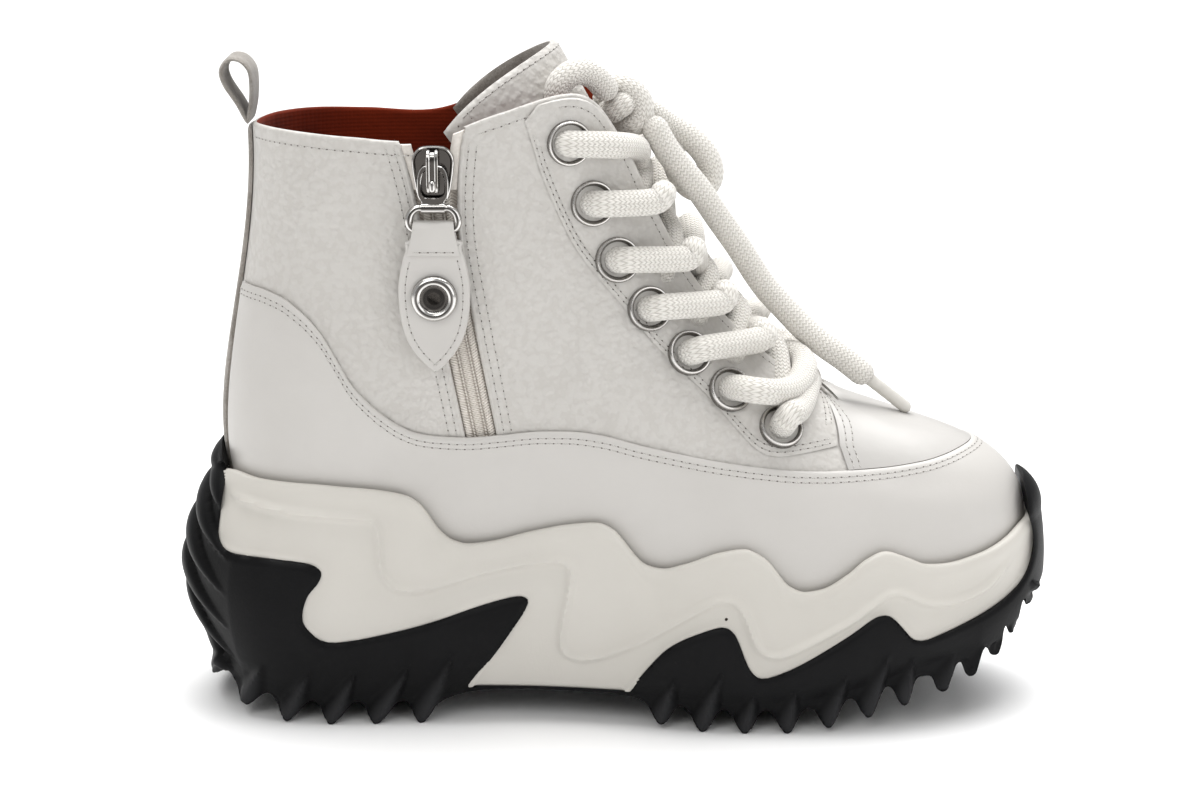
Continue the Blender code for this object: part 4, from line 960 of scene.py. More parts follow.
def makeEyestays():
    for side, label in ((-1, "medial"), (1, "lateral")):
        across = np.concatenate(([0.0, 0.03, 0.07], np.linspace(0.12, 0.9, 17), [0.94, 0.975, 1.0]))
        u, v = np.meshgrid(np.linspace(0.015, 1, 200), across)
        s, t = stayGrid(side, u, v)
        high = stayRise(v)
        if side > 0:
            s, t, high = s[:, ::-1], t[:, ::-1], high[:, ::-1]
        panel = overlaySheet("eyestayPanel_" + label, s, t, "pebbled", high=high)
        cut(panel, holePunches(side))
        panel.data.shade_smooth()
        finishPiece(panel, "boot", ["eyestay_" + label], sharp=50)
        along = np.linspace(0.03, 0.985, 200)
        runs = [skinRun(*stayRow(side, along, reach), float(stayRise(reach / stay["wide"])))
                for reach in stay["rows"]]
        along = np.linspace(0.05, 0.985, 160)
        s, t = stayGrid(side, along, np.ones(160))
        runs.append(skinRun(s, downT(s, t, 2.6), skinOff))
        across = np.linspace(0.30, 0.92, 34)
        runs += [skinRun(*stayGrid(side, np.full(34, 1 - end), across), skinOff) for end in stay["ends"]]
        sewn("eyestayStitches_" + label, runs)


def vampSpots(side, share, inset=0.0):
    # Spots along the vamp's rear edge: share runs from the mudguard to the throat.
    x, z = (np.array([p[k] for p in vampEdge[:0:-1]]) for k in range(2))
    s, t = sideSpot(x + inset, z, side)
    last = vampEdge[0][2] if side < 0 else turn - vampEdge[0][2]
    step = inset * 0.055 * (-side)
    s, t = np.append(s, last + step), np.append(t, 1.0)
    at = np.linspace(0, 1, len(s))
    return np.interp(share, at, s), np.interp(share, at, t)


def makeVamp():
    shares, columns = np.linspace(0, 1, 34), 150
    near, far = vampSpots(-1, shares, vamp["gap"]), vampSpots(1, shares, vamp["gap"])
    across = np.linspace(0, 1, columns)[None, :]
    s = near[0][:, None] * (1 - across) + far[0][:, None] * across
    low = guardT(s[0]) + 0.002
    base = near[1][:, None] * (1 - across) + far[1][:, None] * across
    first = near[1][0] * (1 - across) + far[1][0] * across
    t = low[None, :] + (1 - low[None, :]) * np.clip((base - first) / (1 - first), 0.0, 1.0)
    panel = overlaySheet("vampPanel", s, t, "sleek", high=vamp["high"], edge=(False, True, True, True))
    finishPiece(panel, "boot", (), sharp=50)
    runs = []
    for side in (-1, 1):
        for reach in vamp["rows"]:
            s, t = vampSpots(side, np.linspace(0.03, 0.97, 60), vamp["gap"] + reach)
            runs.append(skinRun(s, t, vamp["high"]))
    sewn("vampStitches", runs)


backstay = {"half": 0.36, "across": 25, "up": 120}


def makeBackstay():
    across = np.linspace(-backstay["half"], backstay["half"], backstay["across"])
    s, t = np.meshgrid(across, np.linspace(0.0, 1.0, backstay["up"]))
    made = overlaySheet("backstayStrip", s % turn, t, "suede")
    finishPiece(made, "boot", ["backstay"], sharp=50)


# The row round the collar, by its stations, and the rows beside the zip.
collar = {"spans": ((0.55, 4.15), (4.78, 5.45), (turn - 5.45, turn - 0.55)), "down": 3.1}
zipRows = {"reach": (2.0, 4.4), "top": 181.0}


def makeCollarStitches():
    runs = []
    for low, high in collar["spans"]:
        s = np.linspace(low, high, 160)
        runs.append(skinRun(s, downT(s, np.full(s.shape, 1.0), collar["down"]), 0.0))
    for side in (-1, 1):
        for reach in zipRows["reach"]:
            z = np.linspace(zipFoot + 1.0, zipRows["top"], 60)
            s, t = sideSpot(zipLine(z) + side * (zipHalf(z) + reach), z, -1)
            runs.append(skinRun(s, t, 0.0))
    sewn("quarterStitches", runs)


tongueRows = (
    # x, z, half width, depth of the curl
    (76.0, 86.6, 12.0, 3.0), (66.0, 92.0, 16.0, 4.5), (53.0, 102.5, 20.0, 7.0), (37.0, 117.0, 23.0, 10.0),
    (21.0, 135.8, 25.0, 14.0), (8.4, 158.5, 26.5, 22.0), (-1.7, 179.4, 27.5, 33.0), (-11.0, 197.0, 28.0, 40.0),
    (-17.6, 209.4, 28.0, 42.0),
)
tongueShape = {"turn": math.radians(80.0), "thick": 3.0, "corner": 0.06, "around": 70, "up": 110}


tongueSections = smoothPath(tongueRows, 160)


def tonguePoint(along, across):
    # The front face: along runs up the tongue, across from -1 to 1. The top corners are rounded.
    reach = 1 - tongueShape["corner"] * np.abs(across) ** 5
    place = np.clip(along, 0.0, 1.0) * reach * (len(tongueSections) - 1)
    i = np.minimum(place.astype(int), len(tongueSections) - 2)
    f = (place - i)[..., None]
    row = tongueSections[i] * (1 - f) + tongueSections[i + 1] * f
    run = tongueSections[np.minimum(i + 6, len(tongueSections) - 1)] - tongueSections[np.maximum(i - 5, 0)]
    length = np.hypot(run[..., 0], run[..., 1])
    ix, iz = -run[..., 1] / length, run[..., 0] / length
    angle = across * tongueShape["turn"]
    full = 1 - math.cos(tongueShape["turn"])
    sag = row[..., 3] * (1 - np.cos(angle)) / full
    y = row[..., 2] * np.sin(angle) / math.sin(tongueShape["turn"])
    return np.stack((row[..., 0] + ix * sag, y, row[..., 1] + iz * sag), -1)


def tongueNormal(along, across):
    low, high = np.clip(along - 0.004, 0, 1), np.clip(along + 0.004, 0, 1)
    up = tonguePoint(high, across) - tonguePoint(low, across)
    side = tonguePoint(along, across + 0.01) - tonguePoint(along, across - 0.01)
    return unitOf(np.cross(side, up))


def makeTongue():
    rows, columns = tongueShape["up"], tongueShape["around"]
    across, along = np.meshgrid(np.linspace(-1, 1, columns), np.linspace(0, 1, rows))
    pad = 0.5 * (1 - across**4) * (1 - along**8)
    normal = tongueNormal(along, across)
    base = tonguePoint(along, across)
    ease = np.zeros(along.shape)
    for k, drop in enumerate((0.9, 0.35, 0.08)):
        ease[:, k] = np.maximum(ease[:, k], drop)
        ease[:, -1 - k] = np.maximum(ease[:, -1 - k], drop)
        ease[-1 - k, :] = np.maximum(ease[-1 - k, :], drop)
    outer = base + normal * (pad - ease)[..., None]
    inner = base - normal * (tongueShape["thick"] - ease)[..., None]
    faces = leafFaces(rows, columns)
    made = meshPiece("tongueLeaf", np.concatenate((outer, inner)), faces, ("pebbled", "suede"))
    half = (rows - 1) * (columns - 1)
    parts = [1 if half <= i < 2 * half else 0 for i in range(len(faces))]
    made.data.polygons.foreach_set("material_index", parts)
    finishPiece(made, "boot", ["tongue"], sharp=60)
    runs = []
    for reach in (0.93, 0.86):
        up = np.linspace(0.55, 0.985, 90)
        for side in (-1, 1):
            across = np.full(90, side * reach)
            runs.append((tonguePoint(up, across), tongueNormal(up, across)))
    high, over = np.full(90, 0.984), np.linspace(-0.9, 0.9, 90)
    runs.append((tonguePoint(high, over), tongueNormal(high, over)))
    sewn("tongueStitches", runs)


loopPath = ((-113.0, 183.9), (-116.6, 190.0), (-120.4, 196.0), (-121.3, 200.6), (-118.6, 204.4),
            (-114.4, 204.2), (-111.2, 200.6), (-110.6, 195.0), (-111.2, 188.5))
pullLoop = {"half": 8.0, "thick": 1.5}


def makePullLoop():
    fine = roundOutline(loopPath)
    step = np.roll(fine, -1, 0) - np.roll(fine, 1, 0)
    inward = unitOf(np.stack((-step[:, 1], step[:, 0]), -1))
    middle = fine.mean(0)
    if np.sum(inward * (middle - fine)) < 0:
        inward = -inward
    across = np.linspace(-1, 1, 13)
    sheets = []
    for depth in (0.0, pullLoop["thick"]):
        rows = []
        for c in across:
            ease = 0.30 if abs(c) > 0.99 else 0.0
            shift = depth + (ease if depth == 0 else -ease)
            p = fine + inward * shift
            rows.append(np.stack((p[:, 0], np.full(len(p), c * pullLoop["half"]), p[:, 1]), -1))
        sheets.append(np.array(rows))
    made = mend(ringShell("pullLoopStrap", sheets[0], sheets[1], "suede", rim=1))
    finishPiece(made, "boot", ["pull_loop"], sharp=60)


# Rings of the insole's rim, each with its inset and rise; then how far each inner ring reaches to the middle.
insole = {"around": 220, "rim": ((2.8, 0.2), (2.5, 2.0), (2.4, 3.6), (3.2, 4.1)),
          "inner": (0.12, 0.3, 0.5, 0.7, 0.88), "dish": -0.9}


def makeInsole():
    s = np.linspace(0, turn, insole["around"], endpoint=False)
    foot = sectionAt(s)[:, 0:3]
    out = outward(s, 0)
    rings = []
    for inset, rise in insole["rim"]:
        ring = foot - out * inset
        ring[:, 2] += rise
        rings.append(ring)
    rim = rings[-1]
    spine = rim.copy()
    spine[:, 1] = toeY
    for share in insole["inner"]:
        ring = rim * (1 - share) + spine * share
        ring[:, 2] += insole["dish"] * math.sin(share * math.pi * 0.5)
        rings.append(ring)
    finishPiece(ringStack("insoleSock", rings, "lining"), "boot", ["insole"], sharp=60)


sole = {"half": 420, "rubberHalf": 350, "wallRows": 84, "bellyShare": 0.42}
heelLugs = {"first": -60.0, "pitch": -14.1, "count": 6, "tighten": 0.55}
foreLugs = {"first": 14.8, "pitch": 13.1, "count": 7, "tighten": -0.55}
# The toe's own lugs climb its curve: tip x and z, then the groove behind it.
toeLugs = ((103.3, 10.2, 98.9, 15.0), (112.6, 13.9, 108.3, 18.9), (120.8, 18.9, 116.6, 22.8),
           (126.4, 25.3, 123.8, 28.4), (132.3, 32.6, 130.0, 35.4))
lugTip = 1.5
# The ridge above each lug: how far it rises up the side, and its lean.
heelRidges = ((24.0, 0.44), (20.0, 0.55), (18.0, 0.46), (17.5, 0.48), (15.0, 0.50), (10.0, 0.60))
foreRidges = ((16.5, 0.30), (21.0, 0.28), (13.5, 0.22), (15.0, 0.17), (18.0, 0.29), (22.0, 0.25), (16.0, 0.10),
              (12.0, 0.06), (10.0, 0.0), (9.0, 0.0), (8.0, 0.0), (8.0, 0.0))
clawHeights = (23.0, 34.0, 45.5, 57.0, 68.0, 78.5)
claws = {"reach": 1.7, "drop": 17.5, "half": 5.75, "high": 3.3, "sink": 3.2}
toeFill = {"from": 92.0, "over": 22.0, "share": 1.0}
ventHole = {"at": (34.5, 37.2), "size": (1.1, 1.1, 0.3)}
# The foam's raised line, the soft lip under its top edge and the one along the rubber: height and width.
foamLine = {"high": 1.55, "wide": 1.15, "drop": 1.1}
foamLip = {"high": 0.55, "wide": 2.6, "down": 2.4}
rubberLip = {"high": 0.9, "wide": 1.1}
ridgeHigh = 4.3
rubberEase = {"side": 1.9, "band": 1.6, "tuck": 2.3, "over": 16.0}
toeBand, heelBand = 17.0, 10.0
reliefLine = (
    (-118.5, 70.8), (-107.8, 68.9), (-95.7, 67.7), (-83.4, 67.0), (-74.6, 66.6), (-72.2, 63.8), (-72.1, 51.7),
    (-70.4, 46.9), (-66.2, 43.4), (-56.3, 43.8), (-34.7, 50.1), (-17.3, 53.2), (-13.2, 51.8), (-12.6, 46.9),
    (-15.7, 32.0), (-16.4, 25.2), (-13.3, 21.6), (-6.1, 21.3), (8.3, 28.1), (26.8, 39.8), (33.5, 43.4),
    (38.3, 42.2), (41.2, 37.2), (44.2, 28.4), (48.4, 25.0), (54.7, 26.2), (73.1, 35.6), (82.1, 42.6),
    (86.0, 44.6),
    (90.4, 43.4), (96.6, 39.8), (104.3, 38.8), (116.1, 41.4), (126.5, 50.1),
)


def stationsOf(half):
    # Even steps along the sole's outline, the same sections on both sides.
    s = np.linspace(0, toeRow, 3000)
    row = sectionAt(s)
    lengths = np.concatenate(([0.0], np.cumsum(np.hypot(np.diff(row[:, 11]), np.diff(row[:, 12])))))
    near = np.interp(np.linspace(0, lengths[-1], half + 1), lengths, s)
    return np.concatenate((near, turn - near[-2:0:-1]))


def segmentsAway(x, z, line):
    # Distance from each spot (x, z) to a line of points.
    line = np.asarray(line, float)
    best = np.full(np.shape(x), 1e9)
    for (ax, az), (bx, bz) in zip(line[:-1], line[1:]):
        dx, dz = bx - ax, bz - az
        f = np.clip(((x - ax) * dx + (z - az) * dz) / max(dx * dx + dz * dz, 1e-9), 0.0, 1.0)
        best = np.minimum(best, np.hypot(x - ax - f * dx, z - az - f * dz))
    return best


def softCorners(points, pull=0.22, times=2):
    # Cuts each corner of an open line so it reads as moulded.
    points = np.asarray(points, float)
    for _ in range(times):
        ahead = points[:-1] * (1 - pull) + points[1:] * pull
        behind = points[:-1] * pull + points[1:] * (1 - pull)
        points = np.concatenate((points[:1], np.stack((ahead, behind), 1).reshape(-1, 2), points[-1:]))
    return points


def lugPlaces(lugs):
    steady = 4
    return [lugs["first"] + lugs["pitch"] * k + lugs["tighten"] * max(k - steady, 0) ** 2
            for k in range(lugs["count"])]


def lugTips():
    # Every lug's tip as (x, z), heel then fore, and the pitch at each.
    tips = [[(x, float(tread["tip"](x))) for x in lugPlaces(lugs)] for lugs in (heelLugs, foreLugs)]
    tips[1] += [(x, z) for x, z, _, _ in toeLugs]
    return tips


def lugLine():
    # The underside from heel to toe: lugs with a flat tip and sloping sides, then softened.
    line = [(-143.0, float(tread["groove"](-139.0)))]
    slopes = ((lugPlaces(heelLugs)[::-1], (0.30, 0.46)), (lugPlaces(foreLugs), (0.38, 0.38)))
    for places, (rear, front) in slopes:
        for i, x in enumerate(places):
            back = places[i] - places[i - 1] if i else places[1] - places[0]
            ahead = places[i + 1] - places[i] if i + 1 < len(places) else 0.8 * back
            for at, kind in ((x - rear * back, "groove"), (x - lugTip, "tip"), (x + lugTip, "tip"),
                             (x + front * ahead, "groove")):
                line.append((at, float(tread[kind](at))))
        if places[0] < 0:
            line += [(-41.0, 9.9), (1.0, 9.6)]
    for x, z, grooveX, grooveZ in toeLugs:
        line += [(grooveX - 0.6, grooveZ), (grooveX + 0.9, grooveZ - 0.3), (x - 1.9, z), (x + 1.2, z),
                 (x + 2.0, z + 3.6)]
    line.append((143.0, 44.0))
    return softCorners(line, 0.24, 2)


heelBorder = softCorners(((-145.0, 87.5),) + heelRubberEdge)
foreBorder = softCorners(foreRubberEdge + ((145.0, 76.0),))
underLine = np.array(lugLine())
rubberOutline = np.concatenate((heelBorder, foreBorder, underLine[::-1]))


def edgeRing(s):
    high = edgeAt(sectionAt(s)[..., 11])
    return offRib(s, tAtHeight(s, high), np.full(np.shape(s), foamOff)) \
        + outward(s, 11) * foam["lip"]


def wallSpots(s, z, edge, grow):
    # Spots of the midsole's outer wall at stations s and heights z, rows by columns.
    row = sectionAt(s)
    normal = outward(s, 11)
    low, high = tread["base"](row[..., 11]), edgeAt(row[..., 11])
    share = np.clip((z - low) / (high - low), 0.0, 1.0)[..., None]
    belly = np.stack((row[..., 11], row[..., 12], np.zeros(row.shape[:-1])), -1)
    under = belly - normal * row[..., 13:14] * (1 - np.minimum(share / sole["bellyShare"], 1.0)) ** 2
    ease = np.maximum((share - sole["bellyShare"]) / (1 - sole["bellyShare"]), 0.0) ** 1.7
    spot = under + (edge - belly) * ease
    spot[..., 2] = z
    return spot + normal * np.asarray(grow)[..., None]


def capFaces(first, count):
    # Closes a ring whose halves mirror each other; faces up.
    faces = []
    for i in range(count // 2):
        near, ahead, far, back = i, i + 1, count - i - 1, (count - i) % count
        for face in ((near, ahead, far), (near, far, back)):
            if len(set(face)) == 3:
                faces.append(tuple(first + v for v in face))
    return faces


def ringStack(name, rings, look, marks=None):
    rings = np.asarray(rings)
    count = rings.shape[1]
    faces = gridFaces(len(rings), count, True) + [face[::-1] for face in capFaces(0, count)]
    faces += capFaces((len(rings) - 1) * count, count)
    return meshPiece(name, rings, faces, look, marks)


def upperBand(s, rises, distance):
    high = edgeAt(sectionAt(s)[:, 11])
    return [offRib(s, tAtHeight(s, high + rise), np.full(s.shape, distance)) for rise in rises]


def makeMidsole():
    s = stationsOf(sole["half"])
    x = sectionAt(s)[:, 11]
    low, high = tread["base"](x), edgeAt(x)
    edge = edgeRing(s)
    shares = np.linspace(0, 1, sole["wallRows"])
    drop = foamLine["drop"]
    z = low + (high - drop - low) * shares[:, None]
    grid = np.broadcast_to(s, z.shape)
    wall = wallSpots(grid, z, np.broadcast_to(edge, z.shape + (3,)), np.zeros(z.shape))
    line = softCorners(reliefLine, 0.25, 3)
    away = segmentsAway(wall[..., 0], wall[..., 2], line)
    border = np.minimum(segmentsAway(wall[..., 0], wall[..., 2], heelBorder),
                        segmentsAway(wall[..., 0], wall[..., 2], foreBorder))
    relief = foamLine["high"] * np.exp(-(away / foamLine["wide"]) ** 2)
    under = high[None, :] - z - foamLip["down"]
    lip = (foamLip["high"] * np.exp(-(under / foamLip["wide"]) ** 2)
           + rubberLip["high"] * np.exp(-(border / rubberLip["wide"]) ** 2))
    ends = np.clip((126.0 - wall[..., 0]) / 6.0, 0.0, 1.0) * np.clip((wall[..., 0] + 120.0) / 5.0, 0.0, 1.0)
    wall = wall + outward(grid, 11) * (relief * ends + lip)[..., None]
    inner = offRib(s, tAtHeight(s, high - drop), np.full(s.shape, foamOff))
    middle, reach = 0.5 * (wall[-1] + inner), 0.5 * (wall[-1] - inner)
    top = []
    for angle in np.linspace(0, math.pi, 7)[1:-1]:
        ring = middle + reach * math.cos(angle)
        ring[:, 2] += 1.15 * math.sin(angle)
        top.append(ring)
    cup = [offRib(s, tAtHeight(s, high - drop) * (1 - share), np.full(s.shape, foamOff))
           for share in (0.0, 0.35, 0.7, 1.0)]
    floor = sectionAt(s)[:, 0:3] - np.array((0.0, 0.0, leather["gap"]))
    made = ringStack("midsoleFoam", np.array(list(wall) + top + cup + [floor]), "foam")
    finishPiece(made, "boot", ["midsole"], sharp=50)
    x, z = ventHole["at"]
    away = np.hypot(wall[..., 0] - x, wall[..., 2] - z) + (wall[..., 1] > 0) * 1e3  # the zip side alone
    at = wall[np.unravel_index(int(np.argmin(away)), away.shape)]
    dot = scatter("midsoleVentHole", at[None], np.array([(1.0, 0.0, 0.0)]), np.array([(0.0, -1.0, 0.0)]),
                  ventHole["size"], "hole")
    finishPiece(dot, "boot", ())


def ridgeField(x, z):
    # How far the rubber stands out above each lug.
    total = np.zeros(x.shape)
    for tips, ridges in zip(lugTips(), (heelRidges, foreRidges)):
        for i, ((at, tip), (rise, lean)) in enumerate(zip(tips, ridges)):
            pitch = abs(at - tips[i - 1][0]) if i else abs(at - tips[1][0])
            q = np.clip((z - tip) / rise, 0.0, 1.0)
            half = 0.5 * pitch * (1 - q) ** 0.75 + 0.01
            v = (x - at - lean * (z - tip)) / half
            v = np.where(v > 0, v * 1.35, v * 0.95)
            high = ridgeHigh * (1 - q) ** 0.55 * (1 - 0.5 * np.clip((at - 95.0) / 20.0, 0.0, 1.0))
            total = np.maximum(total, high * np.maximum(1 - np.abs(v) ** 1.25, 0.0) * (z < tip + rise))
    return total


def clawField(s, z):
    away = np.minimum(s % turn, turn - s % turn) / claws["reach"]
    share = np.clip(away, 0.0, 1.0)
    total = np.zeros(z.shape)
    for height in clawHeights:
        middle = height - claws["drop"] * share**1.4
        half = claws["half"] * (1 - share**1.6) + 0.05
        v = (z - middle) / half
        v = np.where(v < 0, v * 1.15, v * 0.93)
        total = np.maximum(total, claws["high"] * np.sqrt(np.maximum(1 - v * v, 0.0)) * (1 - share**2))
    return total - claws["sink"] * (1 - share) ** 0.7


def makeOutsole():
    s = stationsOf(sole["rubberHalf"])
    x = sectionAt(s)[:, 11]
    low, high = tread["base"](x), edgeAt(x)
    edge = edgeRing(s)
    thick = rubber["thick"] + leather["gap"]
    rows = np.concatenate((np.linspace(-2.0, -0.5, 2)[:, None] * np.ones(len(s)),
                           (tread["tip"](x) - 0.6) * np.linspace(0, 1, 3)[1:, None],
                           tread["tip"](x) + (low - tread["tip"](x)) * np.linspace(0, 1, 14)[1:, None],
                           low + (high - low) * np.linspace(0, 1, 74)[1:, None]))
    rows = np.maximum.accumulate(rows + 0.02 * np.arange(len(rows))[:, None], axis=0)
    grid = np.broadcast_to(s, rows.shape)
    plain = wallSpots(grid, rows, np.broadcast_to(edge, rows.shape + (3,)), np.full(rows.shape, thick))
    away = segmentsAway(plain[..., 0], plain[..., 2], rubberOutline)
    ease = rubberEase["side"]
    rounding = ease * (1 - np.sqrt(1 - (1 - np.clip(away / ease, 0.0, 1.0)) ** 2))
    ridges = ridgeField(plain[..., 0], plain[..., 2])
    floor = np.clip(1 - (plain[..., 2] - tread["tip"](x)) / rubberEase["over"], 0.0, 1.0)
    tuck = rubberEase["tuck"] * floor * floor * (3 - 2 * floor)
    grow = ridges - tuck + clawField(grid, rows) - rounding
    grow = np.maximum(grow, np.where(rows < low - 0.4, -2.5, 0.5 - thick))
    share = np.clip((rows - low) / (high - low) / sole["bellyShare"], 0.0, 1.0)
    full = np.clip((x - toeFill["from"]) / toeFill["over"], 0.0, 1.0) * toeFill["share"]
    grow += sectionAt(s)[:, 13] * (1 - share) ** 2 * full
    block = list(plain + outward(grid, 11) * grow[..., None])
    over = foamOff + 0.25
    rim = plain[-1]
    for rise in np.linspace(0.8, toeBand, 18):
        near = np.clip((np.where(x > 0, rubber["toeTop"], rubber["heelTop"]) - high - rise) / 9.0, 0.0, 1.0)
        ring = offRib(s, tAtHeight(s, high + rise), over + rubber["overUpper"] * near)
        blend = np.clip(1 - rise / np.where(x > 0, toeBand, heelBand), 0.0, 1.0)
        blend = (blend * blend * (3 - 2 * blend))[:, None]
        ring = (rim + np.array((0.0, 0.0, rise))) * blend + ring * (1 - blend)
        away = np.clip(segmentsAway(ring[:, 0], ring[:, 2], rubberOutline) / rubberEase["band"], 0.0, 1.0)
        grow = np.maximum(clawField(s, ring[:, 2]), -0.6) - 1.0 * (1 - np.sqrt(1 - (1 - away) ** 2))
        block.append(ring + outward(s, 11) * grow[:, None])
    # The rubber's painted light follows its relief: ridge and claw crests for the painted highlight, the sunk
    # hollows between the claws for painted shade.
    ridgeLightAndShade = [ridges / ridgeHigh + clawField(grid, rows) / claws["high"]]
    ridgeLightAndShade.append(np.array([clawField(s, ring[:, 2]) / claws["high"] for ring in block[len(plain):]]))
    made = ringStack("outsoleRubber", np.array(block), "rubber", {"ridgeLightAndShade": np.concatenate(ridgeLightAndShade)})
    cut(made, sidePrism("rubberSides", rubberOutline.tolist(), -75.0, 75.0), "INTERSECT")
    shares = np.linspace(0, 1, 40)
    z = low + (high - low) * shares[:, None]
    core = wallSpots(np.broadcast_to(s, z.shape), z, np.broadcast_to(edge, z.shape + (3,)),
                     np.full(z.shape, leather["gap"]))
    core[0, :, 2] -= leather["gap"]
    rings = list(core) + [core[-1] + np.array((0.0, 0.0, 2 * leather["gap"]))]
    rings += upperBand(s, (0.9, 8.0, 17.5), foamOff)
    cut(made, ringStack("soleCore", np.array(rings), "rubber"))
    made.data.shade_smooth()
    finishPiece(made, "boot", ["outsole"], sharp=42)


def sweepTube(name, points, radius, look, sides=18, rounded=(True, True)):
    # A round cord along a line of points, with its length and turn as the run map.
    points = np.asarray(points, float)
    radii = np.broadcast_to(np.asarray(radius, float), len(points)).copy()
    way = unitOf(np.gradient(points, axis=0))
    first = unitOf(np.cross(way[0], (0.31, 0.17, 0.93)))
    firsts = []
    for one in way:
        first = unitOf(first - one * np.dot(first, one))
        firsts.append(first)
    firsts = np.array(firsts)
    seconds = np.cross(way, firsts)
    centres, sizes, ups, overs = [], [], [], []

    def add(centre, size, up, over):
        centres.append(centre)
        sizes.append(size)
        ups.append(up)
        overs.append(over)

    steps = (80, 60, 40, 20)
    if rounded[0]:
        for a in (math.radians(d) for d in steps):
            add(points[0] - way[0] * radii[0] * math.sin(a), radii[0] * math.cos(a), firsts[0], seconds[0])
    for k in range(len(points)):
        add(points[k], radii[k], firsts[k], seconds[k])
    if rounded[1]:
        for a in (math.radians(d) for d in steps[::-1]):
            tip = points[-1] + way[-1] * radii[-1] * math.sin(a)
            add(tip, radii[-1] * math.cos(a), firsts[-1], seconds[-1])
    centres, sizes = np.array(centres), np.array(sizes)[:, None, None]
    angles = np.linspace(0, 2 * math.pi, sides, endpoint=False)[None, :, None]
    around = np.cos(angles) * np.array(ups)[:, None] + np.sin(angles) * np.array(overs)[:, None]
    ring = centres[:, None] + sizes * around
    runs = lengthsAlong(centres)
    rows = len(ring)
    faces = gridFaces(rows, sides, True)
    uvs = [(runs[r + dr], (c + dc) / sides) for r in range(rows - 1) for c in range(sides)
           for dr, dc in ((0, 0), (0, 1), (1, 1), (1, 0))]
    low, high, last = rows * sides, rows * sides + 1, (rows - 1) * sides
    for c in range(sides):
        faces += [(low, (c + 1) % sides, c), (high, last + c, last + (c + 1) % sides)]
        uvs += [(runs[0], c / sides)] * 3 + [(runs[-1], c / sides)] * 3
    ends = np.array((centres[0] - way[0] * (0.0 if not rounded[0] else radii[0] * 0.02),
                     centres[-1] + way[-1] * (0.0 if not rounded[1] else radii[-1] * 0.02)))
    made = meshPiece(name, np.concatenate((ring.reshape(-1, 3), ends)), faces, look)
    layer = made.data.uv_layers.new(name="run")
    layer.data.foreach_set("uv", np.array(uvs, np.float32).ravel())
    return made


def lathe(name, profile, centre, axis, look, steps=56):
    # A closed profile of (radius, height) turned around an axis.
    axis = unitOf(np.asarray(axis, float))
    first = unitOf(np.cross(axis, (0.3, 0.1, 0.9)))
    second = np.cross(axis, first)
    rows = []
    for radius, height in profile:
        angles = np.linspace(0, 2 * math.pi, steps, endpoint=False)[:, None]
        circle = np.cos(angles) * first + np.sin(angles) * second
        rows.append(centre + axis * height + max(radius, 0.002) * circle)
    count = len(profile) * steps
    faces = [tuple(v % count for v in face) for face in gridFaces(len(profile) + 1, steps, True)]
    return mend(meshPiece(name, np.array(rows), faces, look), weld)


eyeletPlaces = (
    (-13.5, 181.6), (-6.5, 162.6), (1.2, 145.2), (10.8, 129.9), (23.1, 115.8), (35.9, 104.2), (51.6, 92.8),
)
eyeletProfile = (
    (7.0, -1.0), (7.05, 0.3), (6.9, 1.0), (6.6, 1.35), (6.25, 1.4), (5.95, 1.15), (5.7, 0.6), (5.3, -0.2),
    (4.9, -1.0), (4.6, -2.0), (4.5, -3.4), (4.9, -3.4), (5.4, -1.2),
)
# How bright the steel's colour is at each radius, from the bore to the lip: painted shade in the bore and down
# the funnel, painted highlights on a thin ring inside the bore and on the lip.
eyeletShine = ((4.5, 4.7, 4.95, 5.3, 5.9, 6.2, 6.6, 7.05), (0.05, 0.60, 0.12, 0.16, 0.30, 0.85, 0.95, 0.25))
punch = {"radius": 5.55, "deep": 9.0}


def eyeletSeat(number, side):
    x, z = eyeletPlaces[number]
    s, t = sideSpot(x, z, side)
    middle, normal = skinPoint(s, t, skinOff), ribNormal(s, t)
    first = unitOf(np.cross(normal, (0.0, 0.0, 1.0)))
    second = np.cross(normal, first)
    rim = []
    for a in np.linspace(0, 2 * math.pi, 8, endpoint=False):
        spot = middle + 6.0 * (math.cos(a) * first + math.sin(a) * second)
        rs, rt = sideSpot(spot[0], spot[2], side)
        rim.append(skinPoint(rs, rt, skinOff))
    rim = np.array(rim) - middle
    facing = unitOf(sum(np.cross(rim[k - 1], rim[k]) for k in range(8)))
    if facing[1] * side < 0:
        facing = -facing
    return middle + facing * float(np.mean(rim @ facing)), facing


seats = {(i, side): eyeletSeat(i, side) for i in range(len(eyeletPlaces)) for side in (-1, 1)}


def makeEyelets():
    for (i, side), (middle, facing) in seats.items():
        label = f"{'medial' if side < 0 else 'lateral'}_{i + 1}"
        ring = lathe(f"eyeletRing_{label}", eyeletProfile, middle, facing, "steel")
        spots = np.zeros(3 * len(ring.data.vertices), np.float32)
        ring.data.vertices.foreach_get("co", spots)
        away = spots.reshape(-1, 3) / unit - middle
        away = np.linalg.norm(away - (away @ facing)[:, None] * facing, axis=-1)
        bright = np.interp(away, *eyeletShine).astype(np.float32)
        ring.data.attributes.new("rim", "FLOAT", "POINT").data.foreach_set("value", bright)
        finishPiece(ring, "boot", [f"eyelet_{label}"], sharp=40)


def holePunches(side=None):
    radius, deep = punch["radius"], punch["deep"]
    profile = ((0.0, deep), (radius, deep), (radius, -deep), (0.0, -deep))
    return joined("holePunches", [lathe("punch", profile, middle, facing, "lining", 28)
                                  for (_, at), (middle, facing) in seats.items() if side in (None, at)])


lace = {"radius": 4.1, "tip": 2.0, "rest": 4.3}
